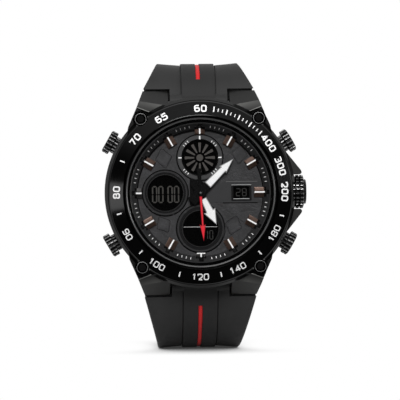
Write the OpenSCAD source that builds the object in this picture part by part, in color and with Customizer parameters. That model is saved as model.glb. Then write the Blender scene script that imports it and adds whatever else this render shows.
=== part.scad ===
// Analogue and digital wrist watch with a round case, four pushers, a crown and a rubber strap.
// Millimetres. +Z looks out of the dial, +Y is 12 o'clock and +X is 3 o'clock.
// The origin is the centre of the case back's outer face.

/* [Case] */
// Diameter of the bezel
bezel_d = 46; // [42:0.5:56]
// Radial width of the bezel, from its rim to the crystal seat
bezel_w = 4.2; // [3.6:0.1:6]
// Height of the bezel's rim over the case back
bezel_rim_z = 11.6; // [11:0.1:14]
// Rise of the bezel from its rim to its inner lip
bezel_rise = 1.7; // [1:0.1:2.4]
// How far the case stands out past the bezel at 3 and 9 o'clock
case_proud = 0.7; // [0.2:0.1:1.5]
// Height of the case middle's lower face
case_bottom_z = 0.6; // [0.4:0.1:1]
// Height of the case middle's upper face, where the bezel sits
case_top_z = 9.5; // [9.5:0.1:12]
// Wall between the dial's edge and the bezel's outside
case_wall = 5.5; // [4.8:0.1:7]
// Thickness of the case back's flange
back_t = 1.4; // [1.2:0.1:1.8]

/* [Lugs] */
// How far the lug tips reach past the bezel
lug_reach = 2.5; // [2:0.1:5]
// Clear gap between the two lugs of a pair
lug_gap = 15.4; // [12:0.1:20]
// Radius of the rounded lug end, about the spring bar
lug_end_r = 3; // [2.6:0.1:3.4]
// Height of the spring bars
bar_z = 3.6; // [3.6:0.1:4.4]
// Radius of a spring bar's body
bar_r = 0.9; // [0.7:0.05:1.1]
// Radius of a spring bar's tips
bar_tip_r = 0.45; // [0.35:0.05:0.6]

/* [Bezel screws] */
// Distance of a bezel screw from the 12 to 6 o'clock axis
screw_x = 14.65; // [13:0.05:16]
// How far the bezel screws stand out past the bezel's rim
screw_out = 0.5; // [0.2:0.1:0.8]
// Radius of the bezel's screw ears
ear_r = 1.9; // [1.7:0.1:2.2]
// Radius of the screw heads
screw_head_r = 1.55; // [1.3:0.05:1.6]

/* [Crown] */
// Diameter of the crown
crown_d = 8.4; // [7:0.1:8.4]
// Length of the crown's fluted part
crown_len = 3.2; // [2.2:0.05:3.5]
// Height of the crown and of the pushers
stem_z = 5; // [4.9:0.1:5.6]
// Radius of the winding stem
stem_r = 0.7; // [0.5:0.05:0.8]
// Number of flutes round the crown
crown_flutes = 24; // [18:2:36]
// How far the crown pulls out
crown_pull = 1.1; // [0.8:0.1:1.2]

/* [Pushers] */
// Angle between the 3 to 9 o'clock axis and a pusher
pusher_angle = 30; // [28:1:34]
// Diameter of a pusher's cap
cap_d = 5.9; // [4.8:0.1:6]
// Thickness of a pusher's cap
cap_t = 1.8; // [1.4:0.1:2.2]
// Radius of a pusher's fluted collar
collar_r = 2.15; // [1.8:0.05:2.3]
// Number of flutes round a pusher's cap
cap_flutes = 18; // [14:2:28]
// Radius of a pusher's stem
push_stem_r = 0.8; // [0.6:0.05:0.9]
// How far a pusher travels
push_travel = 0.8; // [0.5:0.1:0.9]

/* [Dial] */
// Thickness of the dial plate
dial_t = 0.4; // [0.3:0.05:0.5]
// Height of the dial's upper face
dial_z = 9.2; // [9.2:0.05:9.3]
// Distance of the upper sub-dial from the centre
sub12_dist = 8.7; // [8.5:0.1:9.5]
// Distance of the left sub-dial from the centre
sub9_dist = 8.7; // [8.5:0.1:9.5]
// Distance of the lower sub-dial from the centre
sub6_dist = 8.9; // [8.5:0.1:9.5]
// Outer radius of the upper and left sub-dial rings
sub_ring_r = 5.6; // [5.2:0.1:5.8]
// Outer radius of the lower sub-dial ring
sub6_ring_r = 5.9; // [5.4:0.1:6.1]
// Radius of the sub-dials' windows
window_r = 4.4; // [3.8:0.1:4.6]
// Height of the sub-dial rings over the dial
ring_h = 0.35; // [0.2:0.05:0.4]
// Distance of the date window from the centre
date_x = 10.2; // [9.8:0.1:10.6]
// Width and height of the date window
date_size = [3.9, 2.9]; // [2:0.1:5]
// Width of the date frame's border
date_border = 0.6; // [0.3:0.05:0.8]

/* [Hour markers] */
// Distance from the dial's edge to the inner end of an hour marker
marker_inset = 4.05; // [3.4:0.05:4.6]
// Length of an hour marker
marker_len = 3; // [2:0.1:3.4]
// Width of an hour marker
marker_w = 2.5; // [1.6:0.1:2.8]
// Height of an hour marker over the dial
marker_h = 0.9; // [0.6:0.1:1.2]

/* [Hands] */
// Reach of the hour hand
hour_len = 9; // [7:0.1:10]
// Reach of the minute hand
minute_len = 11.65; // [9:0.05:13]
// Reach of the second hand
second_len = 12.1; // [9:0.1:13]
// Thickness of the hands
hand_t = 0.2; // [0.15:0.05:0.25]
// Hour shown at rest
show_hour = 5; // [0:1:11]
// Minutes shown at rest
show_minute = 7.5; // [0:0.5:59.5]
// Seconds shown at rest
show_second = 29.45; // [0:0.05:59.95]

/* [Strap] */
// Width of the strap at its shoulders
strap_shoulder_w = 27.8; // [22:0.1:30]
// Width of the strap once it has tapered
strap_w = 20.5; // [18:0.1:22]
// Width of the strap at the buckle
strap_end_w = 19.6; // [16:0.1:19.8]
// Thickness of the strap at its shoulders
strap_t = 4.4; // [3.6:0.1:4.4]
// Thickness of the strap at its far ends
strap_end_t = 2.6; // [2:0.1:3.2]
// Width of the raised middle ridge
ridge_w = 8.6; // [6:0.1:10]
// How far the ridge stands over the strap's wings
ridge_h = 0.4; // [0.2:0.05:0.6]
// Width of the coloured stripe inlay
stripe_w = 1; // [0.6:0.05:1.6]
// Depth of the coloured stripe inlay
stripe_t = 0.4; // [0.3:0.05:0.6]
// Number of buckle holes
hole_count = 7; // [3:1:8]
// Radius of a buckle hole
hole_r = 1.2; // [0.9:0.05:1.4]
// Distance from one buckle hole to the next
hole_pitch = 6.2; // [5:0.1:6.4]

/* [Buckle] */
// Radius of the buckle bar
pin_r = 0.75; // [0.6:0.05:0.9]
// Distance from the buckle bar to the front of the frame
buckle_len = 11; // [9:0.1:13]
// Width of a buckle arm
arm_w = 1.8; // [1.4:0.1:2.4]
// Radius of the buckle's front bar
front_r = 1.1; // [0.9:0.05:1.3]
// Length of the free keeper along the strap
keeper_len = 5; // [4:0.1:7]

/* [Hidden] */
$fn = 96;

// Clearances
run_fit = 0.05;
seat_fit = 0.03;
loose = 0.1;
eps = 0.01;

// Radial stack of the case, from the bezel inwards
bezel_r = bezel_d / 2;
case_r = bezel_r + case_proud;
cavity_r = bezel_r - case_wall;
crystal_seat_r = bezel_r - bezel_w;
lip_w = 0.4;
crystal_r = crystal_seat_r - lip_w;
ledge_r = cavity_r + 0.25;
dial_r = cavity_r - 0.15;
marker_in_r = dial_r - marker_inset;

// Vertical stack
bezel_top_z = bezel_rim_z + bezel_rise;
ledge_z = bezel_top_z - 1.6;
insert_t = 0.5;
insert_out_r = bezel_r - 0.5;
insert_in_r = crystal_seat_r + 0.45;
lcd_top_z = dial_z - dial_t - 0.1;
lcd_t = 1;
plate_z = 5.4;
plate_t = 0.9;
board_z = 4.1;
board_t = 0.6;
back_r = bezel_r - 2.8;
inner_back_z = 1.9;
holder_wall = 2.2;

// Lugs and spring bars
lug_tip_y = bezel_r + lug_reach;
bar_y = lug_tip_y - lug_end_r;
tongue_w = lug_gap - 2 * loose;
shoulder_r = lug_end_r + 0.4;
tongue_r = strap_t / 2 + 0.1;
heel = 2.75;
heel_gap = 0.3;
// The heel is rounded about the bar, so that it swings clear of the case back's edge
heel_swing_r = sqrt(pow(bar_y - back_r, 2) + pow(bar_z - back_t, 2)) - 0.15;
case_cut_y = bar_y - heel - 0.15;
lug_top_z = case_top_z + 0.8;
facet_mid = [11.5, lug_tip_y - 3.2];
facet_slant = 9.8;
pocket_z = case_top_z - 0.05;
tip_depth = 1.2;

// Bezel screws
screw_y = sqrt(pow(bezel_r + screw_out, 2) - pow(screw_x, 2));
ear_z = case_top_z - 0.6;
ear_top_z = bezel_rim_z - 1.2;
thread_r = 0.7;
head_h = 1.3;

// Case back screws and gasket
back_screw_r = back_r - 1.05;
back_head_r = 0.85;
back_thread_r = 0.5;
gasket_r = 0.25;
gasket_mid_r = back_screw_r - 1.05;

// Crown and its tube
crown_r = crown_d / 2;
crown_x = bezel_r - 0.25;
crown_cap_r = crown_r - 1.05;
crown_cap_len = 0.6;
crown_bore_r = stem_r + 1.4;
tube_r = stem_r + 0.9;
crown_seal_x = crown_x + 0.28;
crown_tube_x = crown_seal_x + crown_pull + 0.05;
stem_in_x = 12;
yoke_x = 12.3;
yoke_t = 0.6;
neck_r = 0.4;
guard_tip_x = bezel_r + 2.3;
guard_bevel = 0.4;

// Pushers, measured out along the pusher's own axis
PUSHERS = [pusher_angle, -pusher_angle, 180 + pusher_angle, 180 - pusher_angle];
tube_out_u = case_r - 0.1;
tube_in_u = case_r - 3.5;
web_t = 0.7;
cap_in_u = tube_out_u + push_travel + 0.3;
collar_in_u = tube_in_u + web_t + push_travel + 0.2;
push_tube_in_r = collar_r + run_fit;
push_tube_r = push_tube_in_r + 0.45;
tip_u = cavity_r - 0.9;
clip_t = 0.25;
clip_u = cavity_r - 0.5;
clip_r = push_stem_r + 0.7;
seal_u = (cavity_r + tube_in_u) / 2;
seal_wire_r = 0.17;

// Hands and motion works: wheel radii follow from one centre distance and the tooth counts
wheel_dist = 3.5;
third_dist = 3.4;
wheel_dir = 80;
third_dir = 200;
arbor_r = 0.22;
cannon_r = 0.58;
hour_tube_r = 0.92;
wheel_t = 0.2;
stud_r = 0.2;
arbor_teeth = 8;
third_teeth = 60;
third_pinion_teeth = 8;
cannon_teeth = 64;
cannon_pinion_teeth = 10;
minute_teeth = 30;
minute_pinion_teeth = 8;
hour_teeth = 32;
train_z = plate_z + plate_t + 0.05;
hour_z = dial_z + 0.6;
minute_z = hour_z + hand_t + 0.25;
second_z = minute_z + hand_t + 0.3;
minute_deg = -6 * show_minute;
hour_deg = -30 * (show_hour + show_minute / 60);
second_deg = -6 * show_second;

// Strap runs in the plane x = 0: [length, turn] of each stretch, heading below the horizon
strap_lead = 3.4;
strap_head = 25;
fall_12 = 8.55;
fall_6 = 20.6;
lean_r = 160;
RUN_6 = [
  [strap_lead, 0],
  [fall_6 * (90 - strap_head) * PI / 180, 90 - strap_head],
  [23.3, 7],
  [36.2, 83],
  [15.1, 0]
];
len_6 = strap_lead + RUN_6[1][0] + RUN_6[2][0] + RUN_6[3][0] + RUN_6[4][0];
start = [bar_y, bar_z, strap_head];
floor_z = along(RUN_6, len_6, start)[1] - strap_end_t / 2;
end_r = 2.2;
over_12 = step(step(start, strap_lead, 0), fall_12 * (90 - strap_head) * PI / 180, 90 - strap_head);
pin_z = floor_z + end_r;
lean_12 = acos((pin_z - over_12[1]) / lean_r) - 90;
RUN_12 = [
  [strap_lead, 0],
  [fall_12 * (90 - strap_head) * PI / 180, 90 - strap_head],
  [lean_r * lean_12 * PI / 180, lean_12]
];
len_12 = RUN_12[0][0] + RUN_12[1][0] + RUN_12[2][0];
taper_12 = RUN_12[0][0] + RUN_12[1][0];
taper_6 = RUN_6[0][0] + RUN_6[1][0];
pin_y = along(RUN_12, len_12, start)[0];
stripe_start = 5.2;
stripe_end_12 = 38;
stripe_end_6 = 46;
first_hole = len_6 - 12;
tang_w = 2.4;
keeper_s = len_12 - 15;
keeper_wall = 1.1;
arm_x = strap_end_w / 2 + 0.2;

// Position and heading after walking length len of a stretch that turns by turn degrees
function step(p, len, turn) =
  turn == 0
    ? [p[0] + len * cos(p[2]), p[1] - len * sin(p[2]), p[2]]
    : let (r = len / (turn * PI / 180))
      [p[0] + r * (sin(p[2] + turn) - sin(p[2])), p[1] + r * (cos(p[2] + turn) - cos(p[2])), p[2] + turn];

// Position and heading at arc length s of a strap run
function along(run, s, p, i = 0) =
  s <= run[i][0] || i == len(run) - 1
    ? step(p, s, run[i][1] * s / run[i][0])
    : along(run, s - run[i][0], step(p, run[i][0], run[i][1]), i + 1);

// Place of a point across (x) and off (t) the strap's middle layer at arc length s
function strap_point(run, s, x, t) =
  let (p = along(run, s, start))
  [x, p[0] + t * sin(p[2]), p[1] + t * cos(p[2])];

// Pitch radius of a gear from its centre distance, its teeth and its mate's teeth
function mesh_r(dist, teeth, mate) = dist * teeth / (teeth + mate);

// Value between a and b
function blend(a, b, k) = a + (b - a) * min(1, max(0, k));

// Distance of the strap's outer face from the 3 to 9 o'clock axis
function outer_y(run, s, total) =
  let (p = along(run, s, start))
  p[0] + strap_thick(s, total) / 2 * sin(p[2]);

// Width of the strap: seen from above, its sides run straight from the lugs' tips to where it hangs down
function strap_width(run, s, taper_s, total, end_w) =
  s < taper_s
    ? let (low = lug_tip_y, high = outer_y(run, taper_s, total))
      blend(strap_shoulder_w, strap_w, (outer_y(run, s, total) - low) / (high - low))
    : blend(strap_w, end_w, (s - taper_s) / (total - taper_s));

// Thickness of a strap half at arc length s
function strap_thick(s, total) = blend(strap_t, strap_end_t, (s - strap_lead) / (total - strap_lead));

// Outline of the strap's section: a raised ridge between two dished wings
function strap_section(w, t) =
  let (h = w / 2, r = ridge_w / 2, top = t / 2, dip = top - ridge_h)
  [
    [-h, -top + 0.5], [-h, top - 0.3], [-h + 0.4, top + 0.1], [-r - 1.6, dip + 0.1], [-r - 0.3, dip],
    [-r, top], [r, top], [r + 0.3, dip], [r + 1.6, dip + 0.1], [h - 0.4, top + 0.1], [h, top - 0.3],
    [h, -top + 0.5], [h - 0.6, -top], [-h + 0.6, -top]
  ];

// Triangles that fill the section: left wing, middle, ridge and right wing
SECTION_CAP = [
  [13, 0, 1], [13, 1, 2], [13, 2, 3], [13, 3, 4], [13, 4, 7], [4, 5, 6], [4, 6, 7], [13, 7, 12],
  [12, 7, 8], [12, 8, 9], [12, 9, 10], [12, 10, 11]
];

// Cone height of the bezel's upper face at radius r
function bezel_cone(r) =
  bezel_rim_z + 0.1 + (bezel_rise - 0.1) * (bezel_r - 0.4 - r) / (bezel_r - 0.4 - crystal_seat_r - 0.35);

// Closed mesh through rings of points, each ring with as many points; cap lists the end faces' corners
module skin(rings, cap = []) {
  n = len(rings[0]);
  m = len(rings);
  points = [for (r = rings) each r];
  ends = len(cap) > 0 ? cap : [for (j = [1 : n - 2]) [0, j, j + 1]];
  sides = [
    for (i = [0 : m - 2], j = [0 : n - 1])
      let (a = i * n + j, b = i * n + (j + 1) % n, c = a + n, d = b + n)
      each [[a, c, b], [b, c, d]]
  ];
  last = [for (t = ends) [for (v = [2 : -1 : 0]) (m - 1) * n + t[v]]];
  polyhedron(points, concat(ends, sides, last));
}

// Trapezoid toothed disc; the first tooth points along +X
module gear(teeth, pitch_r, height) {
  m = 2 * pitch_r / teeth;
  tip_r = pitch_r + 0.8 * m;
  root_r = pitch_r - 1.1 * m;
  half = 90 / teeth;
  linear_extrude(height)
    polygon([
      for (i = [0 : teeth - 1])
        let (a = 360 * i / teeth)
        each [
          root_r * [cos(a - 0.75 * half), sin(a - 0.75 * half)],
          tip_r * [cos(a - 0.25 * half), sin(a - 0.25 * half)],
          tip_r * [cos(a + 0.25 * half), sin(a + 0.25 * half)],
          root_r * [cos(a + 0.75 * half), sin(a + 0.75 * half)]
        ]
    ]);
}

// Fluted disc with flat teeth, standing on z = 0
module fluted(r, depth, teeth, height) {
  linear_extrude(height)
    polygon([
      for (i = [0 : teeth - 1], k = [0 : 3])
        let (a = 360 * (i + [0, 0.12, 0.5, 0.62][k]) / teeth, q = [r - depth, r, r, r - depth][k])
        q * [cos(a), sin(a)]
    ]);
}

// Disc or ring from z0 to z1
module ring(r_out, r_in, z0, z1) {
  translate([0, 0, z0])
    difference() {
      cylinder(r = r_out, h = z1 - z0);
      translate([0, 0, -1]) cylinder(r = r_in, h = z1 - z0 + 2);
    }
}

// Lays children along the crown's axis, their +Z pointing out of the case
module on_crown_axis() {
  translate([0, 0, stem_z]) rotate([0, 90, 0]) children();
}

// Lays children along a pusher's axis, their +Z pointing out of the case
module on_pusher_axis(angle) {
  rotate([0, 0, angle]) on_crown_axis() children();
}

module at_four_ears() {
  for (sx = [-1, 1], sy = [-1, 1]) translate([sx * screw_x, sy * screw_y, 0]) children();
}

module at_back_screws() {
  for (a = [45 : 90 : 315]) rotate([0, 0, a]) translate([back_screw_r, 0, 0]) children();
}

module at_third() {
  translate([third_dist * cos(third_dir), third_dist * sin(third_dir), 0]) children();
}

module at_minute_wheel() {
  translate([wheel_dist * cos(wheel_dir), wheel_dist * sin(wheel_dir), 0]) children();
}

// Case middle

module case_round() {
  rotate_extrude()
    polygon([
      [0, case_bottom_z], [case_r - 2.2, case_bottom_z], [case_r - 0.5, case_bottom_z + 1.9],
      [case_r, case_bottom_z + 3], [case_r, case_top_z - 1], [case_r - 0.7, case_top_z], [0, case_top_z]
    ]);
}

// One lug at the upper right: its plan outline cut by its side outline
module lug() {
  inner = lug_gap / 2;
  intersection() {
    linear_extrude(lug_top_z + 1)
      polygon([
        [inner, 10], [inner, lug_tip_y + 1], [inner + 5.95, lug_tip_y + 1], [inner + 6.25, lug_tip_y - 0.1],
        [inner + 7.8, bezel_r - 1.6], [inner + 9.9, bezel_r - 6.4], [inner + 10.3, bezel_r - 8.6], [16, 10]
      ]);
    rotate([90, 0, 90])
      linear_extrude(bezel_r + 2)
        union() {
          polygon([
            [10, case_bottom_z], [bar_y, bar_z - lug_end_r], [lug_tip_y - 0.1, bar_z],
            [lug_tip_y - 0.1, lug_top_z], [10, lug_top_z]
          ]);
          translate([bar_y, bar_z]) circle(r = lug_end_r);
        }
    lug_facets();
  }
}

// Space under a lug's two upper facets, which run slanted across it
module lug_facets() {
  edge = [facet_mid[1], lug_top_z - 1.2];
  fall = [2.8, -4];
  low = (edge[1] + 1) / -fall[1];
  translate([facet_mid[0], facet_mid[1], 0])
    rotate([0, 0, facet_slant])
      translate([-2 * facet_mid[0], -facet_mid[1], 0])
        rotate([90, 0, 90])
          linear_extrude(4 * facet_mid[0])
            polygon([
              [0, -1], edge + low * fall, edge, edge + [-1.9, 1],
              [edge[0] - 2.3, lug_top_z + 0.1], [0, lug_top_z + 0.1]
            ]);
}

// Recess that a bezel screw stands in, with a straight edge across the lug
module screw_pocket() {
  translate([0, 0, pocket_z])
    linear_extrude(4)
      polygon([
        [screw_x - 3.45, screw_y + 1.2], [screw_x + 1.85, screw_y + 3.25], [screw_x + 5, screw_y],
        [screw_x + 5, 9], [10, 9]
      ]);
}

module crown_guard() {
  y0 = crown_r + 0.1;
  height = case_top_z - case_bottom_z - 2;
  slant = [[guard_tip_x - 0.25, y0 + 1.15], [bezel_r - 1.5, 9.9]];
  run = slant[1] - slant[0];
  translate([0, 0, case_bottom_z + 1.2])
    difference() {
      linear_extrude(height)
        polygon([
          [bezel_r - 5, y0], [guard_tip_x - 0.35, y0], [guard_tip_x, y0 + 0.35],
          [guard_tip_x - 0.02, y0 + 0.75], slant[0], slant[1], [bezel_r - 5, 8.4]
        ]);
      translate([slant[0][0], slant[0][1], height - guard_bevel])
        rotate([0, 0, atan2(run[1], run[0])])
          rotate([45, 0, 0]) translate([-2, -3, 0]) cube([norm(run) + 4, 3, 3]);
    }
}

module case_middle() {
  color([0.16, 0.16, 0.17])
    difference() {
      union() {
        case_round();
        for (sx = [0, 1], sy = [0, 1]) mirror([sx, 0, 0]) mirror([0, sy, 0]) lug();
        for (sy = [0, 1]) mirror([0, sy, 0]) crown_guard();
      }
      translate([0, 0, -1]) cylinder(r = cavity_r, h = lug_top_z + 3);
      translate([0, 0, -1]) cylinder(r = back_r + loose, h = back_t + 1);
      ring(gasket_mid_r + gasket_r + loose, gasket_mid_r - gasket_r - loose, back_t - eps, back_t + 0.6);
      at_back_screws() cylinder(r = back_thread_r, h = back_t + 3);
      for (sy = [-1, 1])
        translate([-lug_gap / 2, sy > 0 ? case_cut_y : -case_cut_y - 9, -1]) cube([lug_gap, 9, 8.2]);
      for (sy = [-1, 1])
        translate([-lug_gap / 2 - tip_depth - loose, sy * bar_y, bar_z])
          rotate([0, 90, 0]) cylinder(r = bar_tip_r + run_fit, h = lug_gap + 2 * (tip_depth + loose));
      translate([0, 0, case_top_z]) cylinder(r = bezel_r + loose, h = 4);
      at_four_ears() translate([0, 0, ear_z - 0.05]) cylinder(r = ear_r + 0.25, h = 4);
      for (sx = [0, 1], sy = [0, 1]) mirror([sx, 0, 0]) mirror([0, sy, 0]) screw_pocket();
      at_four_ears() translate([0, 0, ear_z - 4.2]) cylinder(r = thread_r, h = 6);
      on_crown_axis() translate([0, 0, crown_x - 0.15]) cylinder(r = crown_r + 0.15, h = 6);
      on_crown_axis() cylinder(r = tube_r + seat_fit, h = bezel_r);
      for (a = PUSHERS)
        on_pusher_axis(a) {
          translate([0, 0, tube_in_u - seat_fit]) cylinder(r = push_tube_r + seat_fit, h = 6);
          translate([0, 0, cavity_r - 1]) cylinder(r = push_stem_r + run_fit, h = 6);
          translate([0, 0, seal_u - 0.25]) cylinder(r = push_stem_r + 2 * seal_wire_r + 0.06, h = 0.5);
        }
    }
}

module case_back() {
  color([0.62, 0.62, 0.64])
    difference() {
      union() {
        cylinder(r = back_r, h = back_t);
        cylinder(r = cavity_r - loose, h = inner_back_z);
      }
      translate([0, 0, inner_back_z - 0.4]) cylinder(r = 8.6, h = 1);
      at_back_screws() translate([0, 0, -1]) cylinder(r = back_thread_r + run_fit, h = back_t + 2);
      at_back_screws() translate([0, 0, -1]) cylinder(r = back_head_r + run_fit, h = 1.5);
    }
}

module back_gasket() {
  color([0.08, 0.08, 0.08])
    translate([0, 0, back_t + gasket_r + 0.02])
      rotate_extrude() translate([gasket_mid_r, 0]) circle(r = gasket_r, $fn = 24);
}

module back_screws() {
  color([0.7, 0.7, 0.72])
    at_back_screws()
      difference() {
        union() {
          translate([0, 0, 0.05]) cylinder(r = back_head_r, h = 0.43);
          translate([0, 0, 0.3]) cylinder(r = back_thread_r - 0.02, h = back_t + 2);
        }
        translate([-1, -0.1, -0.1]) cube([2, 0.2, 0.35]);
      }
}

// Bezel and crystal

module bezel_ring() {
  color([0.05, 0.05, 0.055])
    difference() {
      union() {
        rotate_extrude()
          polygon([
            [ledge_r, case_top_z], [bezel_r, case_top_z], [bezel_r, bezel_rim_z - 0.3],
            [bezel_r - 0.35, bezel_cone(bezel_r - 0.35)], [insert_out_r, bezel_cone(insert_out_r)],
            [insert_out_r, bezel_cone(insert_out_r) - insert_t],
            [insert_in_r, bezel_cone(insert_in_r) - insert_t],
            [insert_in_r, bezel_cone(insert_in_r)], [crystal_seat_r + 0.3, bezel_top_z],
            [crystal_seat_r, bezel_top_z - 0.05], [crystal_seat_r, ledge_z], [ledge_r, ledge_z]
          ]);
        at_four_ears() translate([0, 0, ear_z]) cylinder(r = ear_r, h = ear_top_z - ear_z);
      }
      at_four_ears() translate([0, 0, ear_z - 1]) cylinder(r = thread_r + run_fit, h = ear_top_z - ear_z + 2);
      translate([0, 0, ear_top_z])
        at_four_ears() cylinder(r = screw_head_r + 0.15, h = 5);
    }
}

module bezel_insert() {
  outer = insert_out_r - seat_fit;
  inner = insert_in_r + seat_fit;
  depth = insert_t - 0.02;
  color([0.02, 0.02, 0.02])
    difference() {
      rotate_extrude()
        polygon([
          [outer, bezel_cone(outer)], [inner, bezel_cone(inner)], [inner, bezel_cone(inner) - depth],
          [outer, bezel_cone(outer) - depth]
        ]);
      at_four_ears() translate([0, 0, ear_top_z]) cylinder(r = screw_head_r + 0.3, h = 5);
    }
}

module bezel_screws() {
  color([0.1, 0.1, 0.1])
    at_four_ears()
      difference() {
        union() {
          translate([0, 0, ear_top_z + eps]) cylinder(r = screw_head_r, h = head_h);
          translate([0, 0, ear_z - 4]) cylinder(r = thread_r - 0.02, h = ear_top_z - ear_z + 4.2);
        }
        translate([0, 0, ear_top_z + head_h - 0.7]) cylinder(r = 0.9, h = 2, $fn = 6);
      }
}

module crystal() {
  edge = 0.3;
  color([0.8, 0.85, 0.9, 0.25])
    rotate_extrude()
      polygon([
        [0, ledge_z + 0.02], [crystal_r, ledge_z + 0.02], [crystal_r, bezel_top_z - edge],
        [crystal_r - edge, bezel_top_z], [0, bezel_top_z]
      ]);
}

module crystal_gasket() {
  color([0.1, 0.1, 0.1]) ring(crystal_seat_r - 0.02, crystal_r + 0.02, ledge_z + 0.02, bezel_top_z - 0.4);
}

// Dial side

module dial_plate() {
  color([0.24, 0.24, 0.25])
    difference() {
      translate([0, 0, dial_z - dial_t]) cylinder(r = dial_r, h = dial_t);
      translate([0, 0, dial_z - 1]) cylinder(r = hour_tube_r + 0.25, h = 2);
      translate([0, sub12_dist, dial_z - 1]) cylinder(r = window_r, h = 2);
      translate([-sub9_dist, 0, dial_z - 1]) cylinder(r = window_r, h = 2);
      translate([0, -sub6_dist, dial_z - 1]) cylinder(r = window_r, h = 2);
      translate([date_x - date_size[0] / 2, -date_size[1] / 2, dial_z - 1])
        cube([date_size[0], date_size[1], 2]);
    }
}

// Inner radius of the marker at hour h, which stops short of a sub-dial ring there
function marker_start(h) =
  h == 0 ? max(marker_in_r, sub12_dist + sub_ring_r + 0.15)
  : h == 6 ? max(marker_in_r, sub6_dist + sub6_ring_r + 0.15)
  : h == 9 ? max(marker_in_r, sub9_dist + sub_ring_r + 0.15)
  : h == 3 ? max(marker_in_r, date_x + date_size[0] / 2 + date_border + 0.15)
  : marker_in_r;

// Blocks at the twelve hours, grown sideways and outwards by gap
module marker_blocks(gap, height) {
  for (h = [0 : 11])
    rotate([0, 0, 90 - 30 * h])
      translate([marker_start(h), -marker_w / 2 - gap, dial_z + 0.005])
        cube([marker_in_r + marker_len - marker_start(h) + gap, marker_w + 2 * gap, height]);
}

module chapter_ring() {
  color([0.15, 0.15, 0.16])
    difference() {
      rotate_extrude()
        polygon([
          [dial_r - 1.6, dial_z + 0.01], [dial_r, dial_z + 0.01], [dial_r, ledge_z - 0.1],
          [dial_r - 0.2, ledge_z - 0.1], [dial_r - 1.6, dial_z + 0.6]
        ]);
      translate([0, 0, -0.1]) marker_blocks(seat_fit, 4);
    }
}

module hour_markers() {
  color([0.45, 0.36, 0.3]) marker_blocks(0, marker_h);
}

module subdial_ring(x, y, r_out) {
  color([0.3, 0.3, 0.31]) translate([x, y, 0]) ring(r_out, window_r, dial_z + 0.005, dial_z + ring_h);
}

module subdial_ring_12() {
  subdial_ring(0, sub12_dist, sub_ring_r);
}

module subdial_ring_9() {
  subdial_ring(-sub9_dist, 0, sub_ring_r);
}

module subdial_ring_6() {
  subdial_ring(0, -sub6_dist, sub6_ring_r);
}

module date_frame() {
  outer = [date_size[0] + 2 * date_border, date_size[1] + 2 * date_border];
  color([0.3, 0.3, 0.32])
    translate([date_x, 0, dial_z + 0.005])
      difference() {
        translate([-outer[0] / 2, -outer[1] / 2, 0]) cube([outer[0], outer[1], ring_h]);
        translate([-date_size[0] / 2, -date_size[1] / 2, -1]) cube([date_size[0], date_size[1], 3]);
      }
}

// Movement

module lcd_panel() {
  color([0.08, 0.08, 0.07])
    difference() {
      translate([0, 0, lcd_top_z - lcd_t]) cylinder(r = cavity_r - holder_wall - 0.2, h = lcd_t);
      translate([0, 0, lcd_top_z - 2]) cylinder(r = hour_tube_r + 0.4, h = 4);
    }
}

module movement_holder() {
  color([0.75, 0.75, 0.72])
    difference() {
      ring(cavity_r - loose, cavity_r - holder_wall, inner_back_z + 0.03, dial_z - dial_t - 0.02);
      on_crown_axis() translate([0, 0, cavity_r - 5]) cylinder(r = tube_r + 0.3, h = 8);
      for (a = PUSHERS) on_pusher_axis(a) translate([0, 0, cavity_r - 5]) cylinder(r = clip_r + 0.3, h = 8);
    }
}

module movement_disc(z, t, bore_r) {
  r = cavity_r - holder_wall - 0.15;
  difference() {
    translate([0, 0, z]) cylinder(r = r, h = t);
    translate([0, 0, z - 1]) cylinder(r = bore_r, h = t + 2);
    translate([stem_in_x - 0.8, -1.9, z - 1]) cube([r, 3.8, t + 2]);
  }
}

module main_plate() {
  color([0.7, 0.6, 0.35]) {
    movement_disc(plate_z, plate_t, arbor_r + run_fit);
    at_third() translate([0, 0, plate_z + plate_t - 0.1]) cylinder(r = stud_r, h = 1.15);
    at_minute_wheel() translate([0, 0, plate_z + plate_t - 0.1]) cylinder(r = stud_r, h = 1.4);
  }
}

module circuit_board() {
  color([0.1, 0.32, 0.18]) movement_disc(board_z, board_t, 0.6);
}

module battery() {
  color([0.75, 0.75, 0.76])
    translate([-3.2, 0, 2.25]) {
      cylinder(r = 10, h = 1.35);
      cylinder(r = 8.2, h = 1.6);
    }
}

module battery_clip() {
  color([0.8, 0.78, 0.7])
    difference() {
      translate([-14.2, -2, 2]) cube([17.5, 4, board_z - 2.02]);
      translate([-13.4, -3, 2.2]) cube([20, 6, board_z]);
    }
}

module stepper_coil() {
  color([0.7, 0.35, 0.15])
    translate([10.2, 0, 3]) rotate([90, 0, 0]) {
      translate([0, 0, -3.4]) cylinder(r = 0.85, h = 6.8);
      for (z = [-4, 3.4]) translate([0, 0, z]) cylinder(r = 1.05, h = 0.6);
    }
}

module buzzer() {
  color([0.8, 0.7, 0.35]) translate([0, 0, inner_back_z - 0.38]) cylinder(r = 8.5, h = 0.3);
}

// Crown

module crown_tube() {
  color([0.6, 0.6, 0.62])
    on_crown_axis() ring(tube_r, stem_r + run_fit, cavity_r + 0.2, crown_tube_x);
}

module crown() {
  color([0.07, 0.07, 0.075])
    on_crown_axis()
      difference() {
        union() {
          translate([0, 0, crown_x]) fluted(crown_r, 0.4, crown_flutes, crown_len);
          translate([0, 0, crown_x + crown_len - eps]) cylinder(r = crown_cap_r, h = crown_cap_len);
        }
        translate([0, 0, crown_x - 1]) cylinder(r = crown_bore_r, h = 2.6);
        cylinder(r = stem_r + 0.02, h = crown_x + crown_len - 0.1);
      }
}

module winding_stem() {
  color([0.7, 0.7, 0.72])
    on_crown_axis()
      difference() {
        translate([0, 0, stem_in_x]) cylinder(r = stem_r, h = crown_x + crown_len - 0.15 - stem_in_x);
        ring(2, neck_r, yoke_x - run_fit, yoke_x + yoke_t + run_fit);
      }
}

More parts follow.
